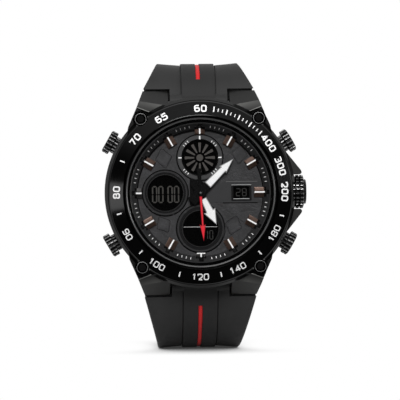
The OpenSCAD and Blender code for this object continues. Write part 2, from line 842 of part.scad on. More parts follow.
module crown_gasket() {
  mid = (crown_bore_r + tube_r) / 2;
  color([0.06, 0.06, 0.06])
    on_crown_axis()
      translate([0, 0, crown_seal_x])
        rotate_extrude() translate([mid, 0]) circle(r = (crown_bore_r - tube_r) / 2 - 0.03, $fn = 24);
}

module setting_yoke() {
  color([0.65, 0.65, 0.66])
    difference() {
      translate([yoke_x, -1.6, stem_z - 1.2]) cube([yoke_t, 3.2, 2.6]);
      on_crown_axis() cylinder(r = neck_r + run_fit, h = 20);
      translate([yoke_x - 1, -neck_r - run_fit, stem_z - 2]) cube([yoke_t + 2, 2 * (neck_r + run_fit), 2]);
    }
}

// Pushers

module pusher_tubes() {
  color([0.3, 0.3, 0.31])
    for (a = PUSHERS)
      on_pusher_axis(a)
        difference() {
          translate([0, 0, tube_in_u]) cylinder(r = push_tube_r, h = tube_out_u - tube_in_u);
          translate([0, 0, tube_in_u + web_t]) cylinder(r = push_tube_in_r, h = 8);
          translate([0, 0, tube_in_u - 1]) cylinder(r = push_stem_r + run_fit, h = 4);
        }
}

module pusher_gaskets() {
  color([0.06, 0.06, 0.06])
    for (a = PUSHERS)
      on_pusher_axis(a)
        translate([0, 0, seal_u])
          rotate_extrude() translate([push_stem_r + seal_wire_r + 0.03, 0]) circle(r = seal_wire_r, $fn = 24);
}

module pusher_head(angle) {
  color([0.06, 0.06, 0.065])
    on_pusher_axis(angle)
      difference() {
        union() {
          translate([0, 0, cap_in_u]) fluted(cap_d / 2, 0.22, cap_flutes, cap_t);
          translate([0, 0, collar_in_u]) fluted(collar_r, 0.14, cap_flutes - 4, cap_in_u - collar_in_u + eps);
          translate([0, 0, tip_u]) cylinder(r = push_stem_r, h = cap_in_u - tip_u);
        }
        ring(collar_r - 0.4, push_stem_r, collar_in_u - 1, cap_in_u - 0.4);
        ring(2, push_stem_r - 0.25, clip_u - 0.02, clip_u + clip_t + 0.02);
      }
}

module pusher_spring(angle) {
  turns = 5;
  wire = 0.14;
  coil_r = (push_stem_r + collar_r - 0.4) / 2;
  z0 = tube_in_u + web_t + wire + 0.02;
  z1 = cap_in_u - 0.4 - wire - 0.02;
  per_turn = 12;
  color([0.7, 0.7, 0.72])
    on_pusher_axis(angle)
      skin([
        for (i = [0 : turns * per_turn])
          let (a = 360 * i / per_turn, z = z0 + (z1 - z0) * i / (turns * per_turn))
          [
            for (k = [0 : 5])
              let (q = coil_r + wire * cos(60 * k))
              [q * cos(a), q * sin(a), z + wire * sin(60 * k)]
          ]
      ]);
}

module pusher_clip(angle) {
  color([0.7, 0.7, 0.72])
    on_pusher_axis(angle)
      difference() {
        ring(clip_r, push_stem_r - 0.22, clip_u, clip_u + clip_t);
        translate([-3, -0.45, clip_u - 1]) cube([3, 0.9, 3]);
      }
}

module pusher_head_2() {
  pusher_head(PUSHERS[0]);
}
module pusher_head_4() {
  pusher_head(PUSHERS[1]);
}
module pusher_head_8() {
  pusher_head(PUSHERS[2]);
}
module pusher_head_10() {
  pusher_head(PUSHERS[3]);
}
module pusher_spring_2() {
  pusher_spring(PUSHERS[0]);
}
module pusher_spring_4() {
  pusher_spring(PUSHERS[1]);
}
module pusher_spring_8() {
  pusher_spring(PUSHERS[2]);
}
module pusher_spring_10() {
  pusher_spring(PUSHERS[3]);
}
module pusher_clip_2() {
  pusher_clip(PUSHERS[0]);
}
module pusher_clip_4() {
  pusher_clip(PUSHERS[1]);
}
module pusher_clip_8() {
  pusher_clip(PUSHERS[2]);
}
module pusher_clip_10() {
  pusher_clip(PUSHERS[3]);
}

// Hands and wheels

// Arrow-shaped hand pointing along +X: shaft, barbs and a pointed tip
module hand_outline(reach, shaft_w, barb_r, barb_w, tail, hub_r) {
  h = shaft_w / 2;
  b = barb_w / 2;
  polygon([
    [-tail, -h * 1.3], [0, -h], [barb_r - 0.4, -h * 0.8], [barb_r, -b], [reach - 0.15, -0.08], [reach, 0],
    [reach - 0.15, 0.08], [barb_r, b], [barb_r - 0.4, h * 0.8], [0, h], [-tail, h * 1.3]
  ]);
  circle(r = hub_r);
}

module hour_hand() {
  color([0.92, 0.92, 0.92])
    translate([0, 0, hour_z])
      rotate([0, 0, 90 + hour_deg])
        difference() {
          linear_extrude(hand_t) hand_outline(hour_len, 1.7, hour_len * 0.56, 3.25, 3, 1.7);
          translate([0, 0, -1]) cylinder(r = hour_tube_r + 0.01, h = 3);
        }
}

module minute_hand() {
  color([0.92, 0.92, 0.92])
    translate([0, 0, minute_z])
      rotate([0, 0, 90 + minute_deg])
        difference() {
          linear_extrude(hand_t) hand_outline(minute_len, 1.9, minute_len * 0.68, 2.5, 3.2, 1.5);
          translate([0, 0, -1]) cylinder(r = cannon_r + 0.01, h = 3);
        }
}

module second_hand() {
  color([0.85, 0.08, 0.08])
    translate([0, 0, second_z])
      rotate([0, 0, 90 + second_deg])
        difference() {
          linear_extrude(hand_t) hand_outline(second_len, 0.6, second_len * 0.65, 1.5, 6, 0.95);
          translate([0, 0, -1]) cylinder(r = arbor_r + 0.01, h = 3);
        }
}

module seconds_arbor() {
  color([0.75, 0.75, 0.76]) {
    translate([0, 0, plate_z]) cylinder(r = arbor_r, h = second_z + hand_t + 0.1 - plate_z);
    rotate([0, 0, third_dir])
      translate([0, 0, train_z]) gear(arbor_teeth, mesh_r(third_dist, arbor_teeth, third_teeth), 0.4);
  }
}

module third_wheel() {
  color([0.8, 0.68, 0.35])
    at_third()
      difference() {
        union() {
          rotate([0, 0, third_dir + 180 + 180 / third_teeth])
            translate([0, 0, train_z + 0.1])
              gear(third_teeth, mesh_r(third_dist, third_teeth, arbor_teeth), wheel_t);
          rotate([0, 0, third_dir + 180])
            translate([0, 0, train_z + 0.1])
              gear(third_pinion_teeth, mesh_r(third_dist, third_pinion_teeth, cannon_teeth), 0.7);
        }
        cylinder(r = stud_r + run_fit, h = 20);
      }
}

module cannon_pinion() {
  color([0.8, 0.68, 0.35])
    difference() {
      union() {
        translate([0, 0, train_z + 0.55]) cylinder(r = cannon_r, h = minute_z + hand_t - train_z - 0.5);
        rotate([0, 0, third_dir + 180 / cannon_teeth])
          translate([0, 0, train_z + 0.55])
            gear(cannon_teeth, mesh_r(third_dist, cannon_teeth, third_pinion_teeth), 0.15);
        rotate([0, 0, wheel_dir])
          translate([0, 0, train_z + 0.69])
            gear(cannon_pinion_teeth, mesh_r(wheel_dist, cannon_pinion_teeth, minute_teeth), 0.31);
      }
      cylinder(r = arbor_r + run_fit, h = 20);
    }
}

module minute_wheel() {
  color([0.8, 0.68, 0.35])
    at_minute_wheel()
      difference() {
        union() {
          rotate([0, 0, wheel_dir + 180 + 180 / minute_teeth])
            translate([0, 0, train_z + 0.8])
              gear(minute_teeth, mesh_r(wheel_dist, minute_teeth, cannon_pinion_teeth), 0.16);
          rotate([0, 0, wheel_dir + 180])
            translate([0, 0, train_z + 0.9])
              gear(minute_pinion_teeth, mesh_r(wheel_dist, minute_pinion_teeth, hour_teeth), 0.35);
        }
        cylinder(r = stud_r + run_fit, h = 20);
      }
}

module hour_wheel() {
  color([0.8, 0.68, 0.35])
    difference() {
      union() {
        translate([0, 0, train_z + 1.05]) cylinder(r = hour_tube_r, h = hour_z + hand_t - train_z - 1);
        rotate([0, 0, wheel_dir + 180 / hour_teeth])
          translate([0, 0, train_z + 1.05])
            gear(hour_teeth, mesh_r(wheel_dist, hour_teeth, minute_pinion_teeth), 0.16);
      }
      cylinder(r = cannon_r + run_fit, h = 20);
    }
}

// Strap

module spring_bars() {
  color([0.7, 0.7, 0.72])
    for (sy = [-1, 1])
      translate([0, sy * bar_y, bar_z])
        rotate([0, 90, 0]) {
          translate([0, 0, -lug_gap / 2 + loose]) cylinder(r = bar_r, h = lug_gap - 2 * loose);
          translate([0, 0, -lug_gap / 2 - tip_depth]) cylinder(r = bar_tip_r, h = lug_gap + 2 * tip_depth);
        }
}

// Arc lengths of a strap's rings from s0 to s1, about one each 2.2 mm
function stations(s0, s1) = let (n = ceil((s1 - s0) / 2.2)) [for (i = [0 : n]) s0 + (s1 - s0) * i / n];

// A strip that follows the strap, between two heights off the ridge's surface
module strap_band(run, total, s0, s1, width, low, high) {
  skin([
    for (s = stations(s0, s1))
      let (top = strap_thick(s, total) / 2)
      [
        for (p = [[-width / 2, low], [-width / 2, high], [width / 2, high], [width / 2, low]])
          strap_point(run, s, p[0], top + p[1])
      ]
  ]);
}

// Strap half on the +Y side, without its buckle end
module strap_blank(run, total, taper_s, end_w) {
  skin([
    for (s = stations(0, total))
      [
        for (p = strap_section(strap_width(run, s, taper_s, total, end_w), strap_thick(s, total)))
          strap_point(run, s, p[0], p[1])
      ]
  ], SECTION_CAP);
  translate([-tongue_w / 2, bar_y, bar_z]) rotate([0, 90, 0]) cylinder(r = tongue_r, h = tongue_w);
  intersection() {
    translate([-tongue_w / 2, bar_y - heel, back_t + heel_gap])
      cube([tongue_w, heel, bar_z - back_t - 2 * heel_gap]);
    translate([-tongue_w / 2 - 1, bar_y, bar_z])
      rotate([0, 90, 0]) cylinder(r = heel_swing_r, h = tongue_w + 2);
  }
}

// What the lugs and the spring bar take out of a strap half
module strap_head_cuts() {
  for (sx = [0, 1])
    mirror([sx, 0, 0])
      translate([tongue_w / 2, bar_y, bar_z]) rotate([0, 90, 0]) cylinder(r = shoulder_r, h = 12);
  translate([-12, bar_y, bar_z]) rotate([0, 90, 0]) cylinder(r = bar_r + run_fit, h = 24);
}

module stripe_groove(run, total, s1) {
  gap = 0.02;
  strap_band(run, total, stripe_start - 5 * gap, s1 + 5 * gap, stripe_w + 2 * gap, -stripe_t - gap, 1);
}

module strap_12() {
  color([0.1, 0.1, 0.105])
    difference() {
      union() {
        strap_blank(RUN_12, len_12, taper_12, strap_end_w);
        translate([-strap_end_w / 2, pin_y, pin_z]) rotate([0, 90, 0]) cylinder(r = end_r, h = strap_end_w);
      }
      strap_head_cuts();
      translate([-15, pin_y, pin_z]) rotate([0, 90, 0]) cylinder(r = pin_r + 0.07, h = 30);
      translate([-tang_w / 2 - 0.3, pin_y - 4, pin_z - 4]) cube([tang_w + 0.6, 8, 8]);
      stripe_groove(RUN_12, len_12, stripe_end_12);
    }
}

module strap_6() {
  color([0.1, 0.1, 0.105])
    mirror([0, 1, 0])
      difference() {
        strap_blank(RUN_6, len_6, taper_6, strap_end_w - 1);
        strap_head_cuts();
        for (i = [0 : hole_count - 1])
          let (p = along(RUN_6, first_hole - i * hole_pitch, start))
          translate([0, p[0], p[1]]) rotate([-p[2], 0, 0]) translate([0, 0, -3]) cylinder(r = hole_r, h = 6);
        stripe_groove(RUN_6, len_6, stripe_end_6);
      }
}

module stripe_12() {
  color([0.85, 0.08, 0.08]) strap_band(RUN_12, len_12, stripe_start, stripe_end_12, stripe_w, -stripe_t, 0);
}

module stripe_6() {
  color([0.85, 0.08, 0.08])
    mirror([0, 1, 0]) strap_band(RUN_6, len_6, stripe_start, stripe_end_6, stripe_w, -stripe_t, 0);
}

// Buckle, lying flat on the ground beside the strap's end

module buckle_frame() {
  front_z = floor_z + front_r;
  color([0.12, 0.12, 0.125])
    difference() {
      union() {
        for (x = [-arm_x - arm_w, arm_x])
          translate([x, 0, 0])
            rotate([90, 0, 90])
              linear_extrude(arm_w)
                union() {
                  translate([pin_y, pin_z]) circle(r = 1.6);
                  translate([pin_y - buckle_len, front_z]) circle(r = front_r);
                  polygon([
                    [pin_y, pin_z + 1.6], [pin_y - buckle_len, front_z + front_r],
                    [pin_y - buckle_len, front_z - front_r], [pin_y, pin_z - 1.6]
                  ]);
                }
        translate([-arm_x - arm_w, pin_y - buckle_len, front_z])
          rotate([0, 90, 0]) cylinder(r = front_r, h = 2 * (arm_x + arm_w));
      }
      translate([-20, pin_y, pin_z]) rotate([0, 90, 0]) cylinder(r = pin_r + 0.02, h = 40);
    }
}

module buckle_bar() {
  half = arm_x + arm_w - 0.2;
  color([0.6, 0.6, 0.62])
    translate([-half, pin_y, pin_z]) rotate([0, 90, 0]) cylinder(r = pin_r, h = 2 * half);
}

module buckle_tang() {
  rest_z = floor_z + 2 * front_r + 0.03;
  color([0.12, 0.12, 0.125])
    translate([-tang_w / 2, 0, 0])
      difference() {
        rotate([90, 0, 90])
          linear_extrude(tang_w)
            union() {
              translate([pin_y, pin_z]) circle(r = 1.5);
              polygon([
                [pin_y - 0.5, pin_z - 0.2], [pin_y - 0.5, pin_z + 1.3],
                [pin_y - buckle_len - front_r + 0.3, rest_z + 0.7],
                [pin_y - buckle_len - front_r, rest_z]
              ]);
            }
        translate([-1, pin_y, pin_z]) rotate([0, 90, 0]) cylinder(r = pin_r + run_fit, h = 10);
      }
}

module strap_keeper() {
  p = along(RUN_12, keeper_s, start);
  t = strap_thick(keeper_s, len_12);
  w = strap_width(RUN_12, keeper_s - keeper_len, taper_12, len_12, strap_end_w) / 2 + 0.35;
  low = -t / 2 - 0.3;
  high = t / 2 + 3;
  k = keeper_wall;
  c = 0.9;
  color([0.1, 0.1, 0.105])
    translate([0, p[0], p[1]])
      rotate([-p[2], 0, 0])
        rotate([90, 0, 0])
          translate([0, 0, -keeper_len / 2])
            linear_extrude(keeper_len)
              difference() {
                polygon([
                  [-w - k, low - k + c], [-w - k + c, low - k], [w + k - c, low - k], [w + k, low - k + c],
                  [w + k, high + k - c], [w + k - c, high + k], [-w - k + c, high + k], [-w - k, high + k - c]
                ]);
                translate([-w, low]) square([2 * w, high - low]);
              }
}

case_middle();
case_back();
back_gasket();
back_screws();
bezel_ring();
bezel_insert();
bezel_screws();
crystal();
crystal_gasket();
dial_plate();
chapter_ring();
hour_markers();
subdial_ring_12();
subdial_ring_9();
subdial_ring_6();
date_frame();
lcd_panel();
movement_holder();
main_plate();
circuit_board();
battery();
battery_clip();
stepper_coil();
buzzer();
crown_tube();
setting_yoke();
crown();
winding_stem();
crown_gasket();
pusher_tubes();
pusher_gaskets();
pusher_head_2();
pusher_head_4();
pusher_head_8();
pusher_head_10();
pusher_spring_2();
pusher_spring_4();
pusher_spring_8();
pusher_spring_10();
pusher_clip_2();
pusher_clip_4();
pusher_clip_8();
pusher_clip_10();
hour_hand();
hour_wheel();
minute_hand();
cannon_pinion();
second_hand();
seconds_arbor();
minute_wheel();
third_wheel();
spring_bars();
strap_12();
strap_6();
stripe_12();
stripe_6();
buckle_frame();
buckle_bar();
buckle_tang();
strap_keeper();
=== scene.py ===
"""Looks of a wrist watch with hands, three small dials and a rubber strap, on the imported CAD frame."""

import logging
import math
from collections.abc import Callable, Sequence
from dataclasses import dataclass
from enum import Enum
from functools import cache

import bmesh
import bpy
from mathutils import Matrix, Vector


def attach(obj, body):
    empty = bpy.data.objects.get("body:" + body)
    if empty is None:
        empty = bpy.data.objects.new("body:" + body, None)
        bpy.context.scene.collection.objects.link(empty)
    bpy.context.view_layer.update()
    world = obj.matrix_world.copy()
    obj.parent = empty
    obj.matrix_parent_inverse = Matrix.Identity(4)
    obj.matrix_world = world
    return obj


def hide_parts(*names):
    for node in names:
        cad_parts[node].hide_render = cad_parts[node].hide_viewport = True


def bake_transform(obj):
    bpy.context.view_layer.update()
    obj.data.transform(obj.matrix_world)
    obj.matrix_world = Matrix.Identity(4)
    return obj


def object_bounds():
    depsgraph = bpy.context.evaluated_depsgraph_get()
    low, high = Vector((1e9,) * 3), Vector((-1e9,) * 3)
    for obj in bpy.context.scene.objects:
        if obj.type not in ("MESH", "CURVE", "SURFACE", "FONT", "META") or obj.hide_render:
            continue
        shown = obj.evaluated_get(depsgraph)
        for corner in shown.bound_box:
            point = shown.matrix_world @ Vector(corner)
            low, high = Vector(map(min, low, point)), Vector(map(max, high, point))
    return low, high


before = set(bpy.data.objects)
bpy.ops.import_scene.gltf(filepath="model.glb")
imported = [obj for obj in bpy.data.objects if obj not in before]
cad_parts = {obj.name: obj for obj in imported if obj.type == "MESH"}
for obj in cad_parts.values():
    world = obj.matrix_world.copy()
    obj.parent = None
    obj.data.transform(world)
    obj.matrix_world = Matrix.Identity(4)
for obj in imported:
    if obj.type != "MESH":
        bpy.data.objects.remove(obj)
CAD_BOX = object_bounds()
MM = 0.001
log = logging.getLogger("watch")

Colour = tuple[float, float, float]
Flat = tuple[float, float]
Point = tuple[float, float, float]
Outline = tuple[Flat, ...]
Link = bpy.types.NodeSocket


# Shader maths


def operator(operation: str, swapped: bool = False) -> Callable[..., "Value"]:
    """Makes one of a value's arithmetic methods.

    Args:
        operation: The Math node's operation.
        swapped: Whether the value itself is the last term.

    Returns:
        The method.
    """

    def work(value: "Value", *others: "Value | float") -> "Value":
        """Adds the node for this value and what it meets."""
        return value.paint.maths(operation, *((*others, value) if swapped else (value, *others)))

    return work


class Value:
    """A number that varies over a surface; arithmetic on it adds Math nodes."""

    def __init__(self, paint: "Paint", socket: Link) -> None:
        """Wraps one output socket."""
        self.paint = paint
        self.socket = socket

    __add__ = __radd__ = operator("ADD")
    __sub__, __rsub__ = operator("SUBTRACT"), operator("SUBTRACT", True)
    __mul__ = __rmul__ = operator("MULTIPLY")
    __pow__ = operator("POWER")
    __mod__ = operator("FLOORED_MODULO")
    __abs__ = operator("ABSOLUTE")
    __gt__, __lt__ = operator("GREATER_THAN"), operator("LESS_THAN")


class Paint:
    """Node tree of one material, in which one method makes any node."""

    def __init__(self, name: str) -> None:
        """Starts an empty material.

        Args:
            name: The material's name.
        """
        self.material = bpy.data.materials.new(name)
        self.material.use_nodes = True
        self.tree = self.material.node_tree
        self.tree.nodes.clear()
        at = self.node("TexCoord").outputs["Object"]
        self.place = self.node("VectorMath", {"operation": "SCALE"}, {0: at, "Scale": 1 / MM}).outputs[0]
        self.x, self.y, self.z = self.split(self.place)

    def node(
        self, kind: str, settings: dict[str, str | int] | None = None, inputs: dict[str | int, object] | None = None
    ) -> bpy.types.Node:
        """Makes one node.

        Args:
            kind: The node's type without its ShaderNode prefix.
            settings: Its properties.
            inputs: The values or links of its sockets, by name or number.

        Returns:
            The node.
        """
        node = self.tree.nodes.new(f"ShaderNode{kind}")
        for name, value in (settings or {}).items():
            setattr(node, name, value)
        for key, value in (inputs or {}).items():
            socket = node.inputs[key]
            source = value.socket if isinstance(value, Value) else value
            if isinstance(source, Link):
                self.tree.links.new(source, socket)
            elif isinstance(source, tuple) and socket.type == "RGBA":
                socket.default_value = (*source, 1.0)
            else:
                socket.default_value = source
        return node

    def split(self, vector: Link) -> list[Value]:
        """The three parts of a vector."""
        return [Value(self, socket) for socket in self.node("SeparateXYZ", {}, {0: vector}).outputs]

    def maths(self, operation: str, *terms: Value | float) -> Value:
        """Adds one Math node for that operation on the terms."""
        return Value(self, self.node("Math", {"operation": operation}, dict(enumerate(terms))).outputs[0])

    def ease(self, value: Value, low: float, high: float) -> Value:
        """Smooth step from 0 at low to 1 at high."""
        inputs = {"Value": value, "From Min": low, "From Max": high}
        return Value(self, self.node("MapRange", {"interpolation_type": "SMOOTHSTEP"}, inputs).outputs[0])

    def noise(self, per_mm: float, detail: float = 2.0, where: Link | None = None) -> Value:
        """Smooth noise with that many cells to the millimetre."""
        inputs = {"Vector": where or self.place, "Scale": per_mm, "Detail": detail}
        return Value(self, self.node("TexNoise", {}, inputs).outputs[0])

    def cells(self, per_mm: float, feature: str = "F1", where: Link | None = None) -> Value:
        """Distance pattern of scattered cells."""
        inputs = {"Vector": where or self.place, "Scale": per_mm}
        return Value(self, self.node("TexVoronoi", {"feature": feature}, inputs).outputs["Distance"])

    def stretched(self, scale: Point) -> Link:
        """Place on the piece with its three axes scaled, for brushed and drawn grains."""
        return self.node("VectorMath", {"operation": "MULTIPLY"}, {0: self.place, 1: scale}).outputs[0]

    def round_place(self, per_turn: float, per_mm: float) -> Link:
        """Place in polar form about the dial's axis, for grain that runs in circles."""
        angle = self.maths("ARCTAN2", self.y, self.x) * (per_turn / math.tau)
        return self.node("CombineXYZ", {}, {0: angle, 1: self.radius() * per_mm, 2: self.z * per_mm}).outputs[0]

    def radius(self) -> Value:
        """Distance from the dial's axis in millimetres."""
        return (self.x * self.x + self.y * self.y) ** 0.5

    def facing(self) -> tuple[Value, Value]:
        """How far the surface faces sideways, and how far up."""
        side, _, up = self.split(self.node("NewGeometry").outputs["Normal"])
        return abs(side), up

    def rays(self) -> list[Value]:
        """1 for a camera, diffuse, glossy or transmission ray, each in turn, else 0."""
        path = self.node("LightPath").outputs
        return [Value(self, path[f"Is {ray} Ray"]) for ray in ("Camera", "Diffuse", "Glossy", "Transmission")]

    def blend(self, factor: Value | float, low: Colour | Link, high: Colour | Link) -> Link:
        """Colour between low and high."""
        return self.node("Mix", {"data_type": "RGBA"}, {0: factor, 6: low, 7: high}).outputs[2]

    def larger(self, one: Value, other: Value) -> Value:
        """The larger of two numbers."""
        return self.maths("MAXIMUM", one, other)

    def bump(self, height: Value, depth: float, strength: float = 1.0) -> Link:
        """Normal of a relief that is depth millimetres deep."""
        inputs = {"Height": height, "Distance": depth * MM, "Strength": strength}
        return self.node("Bump", {}, inputs).outputs[0]


# Finishes


@dataclass
class Skin:
    """What varies over a surface: its colour, roughness, relief and, for glass, its alpha."""

    colour: Colour | Link
    roughness: Value
    normal: Link | None = None
    alpha: Value | float = 1.0


@dataclass(frozen=True)
class Finish:
    """One surface finish."""

    name: str
    colour: Colour
    roughness: float = 0.5
    metallic: float = 0.0
    gloss: float = 0.5

    def shade(self, amount: float) -> Colour:
        """The finish's colour, darker or lighter."""
        red, green, blue = self.colour
        return (red * amount, green * amount, blue * amount)

    def mottle(self, paint: Paint, factor: Value | float, low: float, high: float) -> Link:
        """Colour between a darker and a lighter shade."""
        return paint.blend(factor, self.shade(low), self.shade(high))

    @cache
    def material(self) -> bpy.types.Material:
        """Makes the finish's material on first use.

        Returns:
            The material.
        """
        paint = Paint(self.name)
        skin = self.skin(paint)
        inputs = {"Base Color": skin.colour, "Roughness": skin.roughness, "Alpha": skin.alpha}
        inputs |= {"Metallic": self.metallic, "Specular IOR Level": self.gloss}
        if skin.normal:
            inputs["Normal"] = skin.normal
        shader = paint.node("BsdfPrincipled", {}, inputs).outputs[0]
        paint.node("OutputMaterial", {}, {"Surface": shader})
        return paint.material

    def skin(self, paint: Paint) -> Skin:
        """Works out the surface; each kind of finish has its own."""
        raise NotImplementedError(self.name)


@dataclass(frozen=True)
class Grained(Finish):
    """Plain surface that varies by a fine pattern, which is also its relief, and a coarse one."""

    shares: tuple[float, ...] = (0.0, 1.0)
    shades: Flat = (0.88, 1.12)
    swings: tuple[float, ...] = (0.0, 0.15)
    depth: float = 0.004

    def patterns(self, paint: Paint) -> tuple[Value, ...]:
        """Fine grain and a soft cloud."""
        return paint.noise(8), paint.noise(0.35, 3)

    def skin(self, paint: Paint) -> Skin:
        """Works out the surface from its patterns.

        Args:
            paint: The node tree to build in.

        Returns:
            The skin.
        """
        patterns = self.patterns(paint)
        factor = sum(pattern * share for pattern, share in zip(patterns, self.shares) if share)
        swings = ((pattern - 0.5) * swing for pattern, swing in zip(patterns, self.swings) if swing)
        colour = self.mottle(paint, factor, *self.shades)
        return Skin(colour, sum(swings, self.roughness), paint.bump(patterns[0], self.depth))


@dataclass(frozen=True)
class Rubber(Finish):
    """Moulded rubber: a fine pebbled skin, faint flow marks and a dry bloom, with painted shade on faces that turn
    sideways and in the gaps at the lugs, and darker along the middle ridge.
    """

    grain: float = 7.0
    # where the painted shade in the gaps at the lugs begins, across and along
    gap: Flat = (7.19, 25.96)
    ridge: float = 4.2

    def skin(self, paint: Paint) -> Skin:
        """Works out the rubber.

        Args:
            paint: The node tree to build in.

        Returns:
            The skin.
        """
        flow = paint.noise(1, 3, paint.stretched((0.5, 0.12, 0.12)))
        pebbles = paint.cells(self.grain) * 0.6 + paint.noise(self.grain * 2.5) * 0.4
        bloom = paint.ease(paint.noise(0.11, 4), 0.45, 0.75)
        body = paint.blend(bloom * 0.35, self.mottle(paint, flow, 0.9, 1.1), self.shade(1.35))
        # painted shade on faces that turn sideways
        edge = paint.ease(paint.facing()[0], 0.4, 0.75) * 0.45
        # painted shade: black in the gaps between the strap and the lugs
        gap = (abs(paint.x) > self.gap[0]) * (abs(paint.y) < self.gap[1])
        # the painted shade, with the middle ridge a little darker too
        dark = paint.larger(paint.larger(edge, gap), (abs(paint.x) < self.ridge) * 0.2)
        roughness = self.roughness + (flow - 0.5) * 0.12 + bloom * 0.05
        return Skin(paint.blend(dark, body, self.shade(0.05)), roughness, paint.bump(pebbles, 0.02, 0.5))


@dataclass(frozen=True)
class Plated(Grained):
    """Plated or drawn metal, brushed along one axis, with a soft change in its lustre."""

    shares: tuple[float, ...] = (0.5, 0.5)
    shades: Flat = (0.75, 1.25)
    swings: tuple[float, ...] = (0.12, 0.08)
    depth: float = 0.002
    brushed: Point = (0.25, 9.0, 9.0)

    def patterns(self, paint: Paint) -> tuple[Value, ...]:
        """Brushed lines and a soft cloud."""
        return paint.noise(1, 3, paint.stretched(self.brushed)), paint.noise(0.2, 3)


@dataclass(frozen=True)
class CasePlating(Finish):
    """Black plated case: brushed satin on the tops of the lugs and guards, polished and darker elsewhere, with painted
    light on the lugs: painted highlights along the screw pockets' edges and fading from the facet crests, and painted
    shade on the tip facets, darker at 12 than at 6.
    """

    satin_from: float = 23.75
    polish: float = 0.16
    facet: Flat = (20.31, 0.173)
    pocket: Flat = (15.3, 0.387)
    pocket_z: Flat = (9.2, 9.6)

    def skin(self, paint: Paint) -> Skin:
        """Works out the plating.

        Args:
            paint: The node tree to build in.

        Returns:
            The skin.
        """
        x, y, up = abs(paint.x), abs(paint.y), paint.facing()[1]
        satin = paint.ease(up, 0.35, 0.55) * paint.ease(paint.radius(), self.satin_from - 0.1, self.satin_from)
        lug = paint.ease(y, 12.0, 13.0)
        # painted highlight line along the edge of each screw pocket
        rim = 1 - paint.ease(abs(y - x * self.pocket[1] - self.pocket[0]), 0.06, 0.22)
        line = rim * (paint.z > self.pocket_z[1]) * lug
        floor = (paint.z < self.pocket_z[1]) * paint.ease(up, 0.93, 0.97) * (paint.z > self.pocket_z[0]) * lug
        lines, cloud = paint.noise(1, 3, paint.stretched((9.0, 0.3, 9.0))), paint.noise(0.25, 3)
        brushed = self.mottle(paint, lines * 0.5 + cloud * 0.5, 0.8, 1.2)
        out = y - x * self.facet[1]
        # painted highlight on the near facet of each lug, fading from the crest towards the pocket and outwards
        lift = paint.ease(out, self.facet[0] - 2.4, self.facet[0]) ** 1.3
        near = self.mottle(paint, lift * (1 - paint.ease(x, 8.0, 15.0) * 0.45), 0.8, 4.2)
        # painted shade on the tip facets: darker at 12, lighter at 6
        far = self.mottle(paint, paint.y > 0, 1.3, 0.35)
        tip = paint.ease(out, self.facet[0] - 0.06, self.facet[0] + 0.06)
        satin_with_painted_light = paint.blend(line, paint.blend(tip, paint.blend(lug, brushed, near), far), self.shade(9.0))
        wall = 1 - paint.ease(up, 0.1, 0.3)
        roughness = self.polish + satin * (self.roughness - self.polish + (lines - 0.5) * 0.1) + wall * 0.5
        colour = paint.blend(satin * (1 - floor), self.shade(0.12), satin_with_painted_light)
        return Skin(colour, roughness, paint.bump(lines * satin, 0.003))


@dataclass(frozen=True)
class Lacquer(Grained):
    """Polished black lacquer with faint hairlines that run round the dial's axis."""

    shades: Flat = (1.0, 1.6)
    swings: tuple[float, ...] = (0.05, 0.05)
    depth: float = 0.0006

    def patterns(self, paint: Paint) -> tuple[Value, ...]:
        """Hairlines and smudges."""
        return paint.noise(1, 4, paint.round_place(14, 6)), paint.ease(paint.noise(0.13, 3), 0.4, 0.8)


@dataclass(frozen=True)
class BezelPlating(Finish):
    """Polished black plating with painted shade inside the insert and outside the rim, a thin painted highlight along
    the outer rim that brightens and dims at random, and a painted highlight ring round each screw's ear.
    """

    # radii of the rim's painted highlight band; painted shade inside and outside it
    band: Flat = (19.3, 22.8)
    screw: Point = (14.65, 18.37, 1.9)

    def skin(self, paint: Paint) -> Skin:
        """Works out the plating.

        Args:
            paint: The node tree to build in.

        Returns:
            The skin.
        """
        hair, radius = paint.noise(1, 4, paint.round_place(14, 6)), paint.radius()
        inside = 1 - paint.ease(radius, self.band[0] - 0.1, self.band[0])
        outside = paint.ease(radius, self.band[1] - 0.1, self.band[1])
        across, along = abs(paint.x) - self.screw[0], abs(paint.y) - self.screw[1]
        # painted highlight ring along the edge of each screw's ear
        ring = 1 - paint.ease(abs((across * across + along * along) ** 0.5 - self.screw[2]), 0.05, 0.15)
        # painted highlight along the outer rim, brighter and dimmer at random
        rim = self.mottle(paint, paint.ease(paint.noise(0.05, 2), 0.3, 0.7), 0.15, 0.8)
        # painted shade inside the insert and outside the rim, but for the ear rings
        dark = self.mottle(paint, ring * outside, 0.06, 0.9)
        colour = paint.blend(paint.larger(inside, outside), rim, dark)
        return Skin(colour, self.roughness + hair * 0.06, paint.bump(hair, 0.0006))


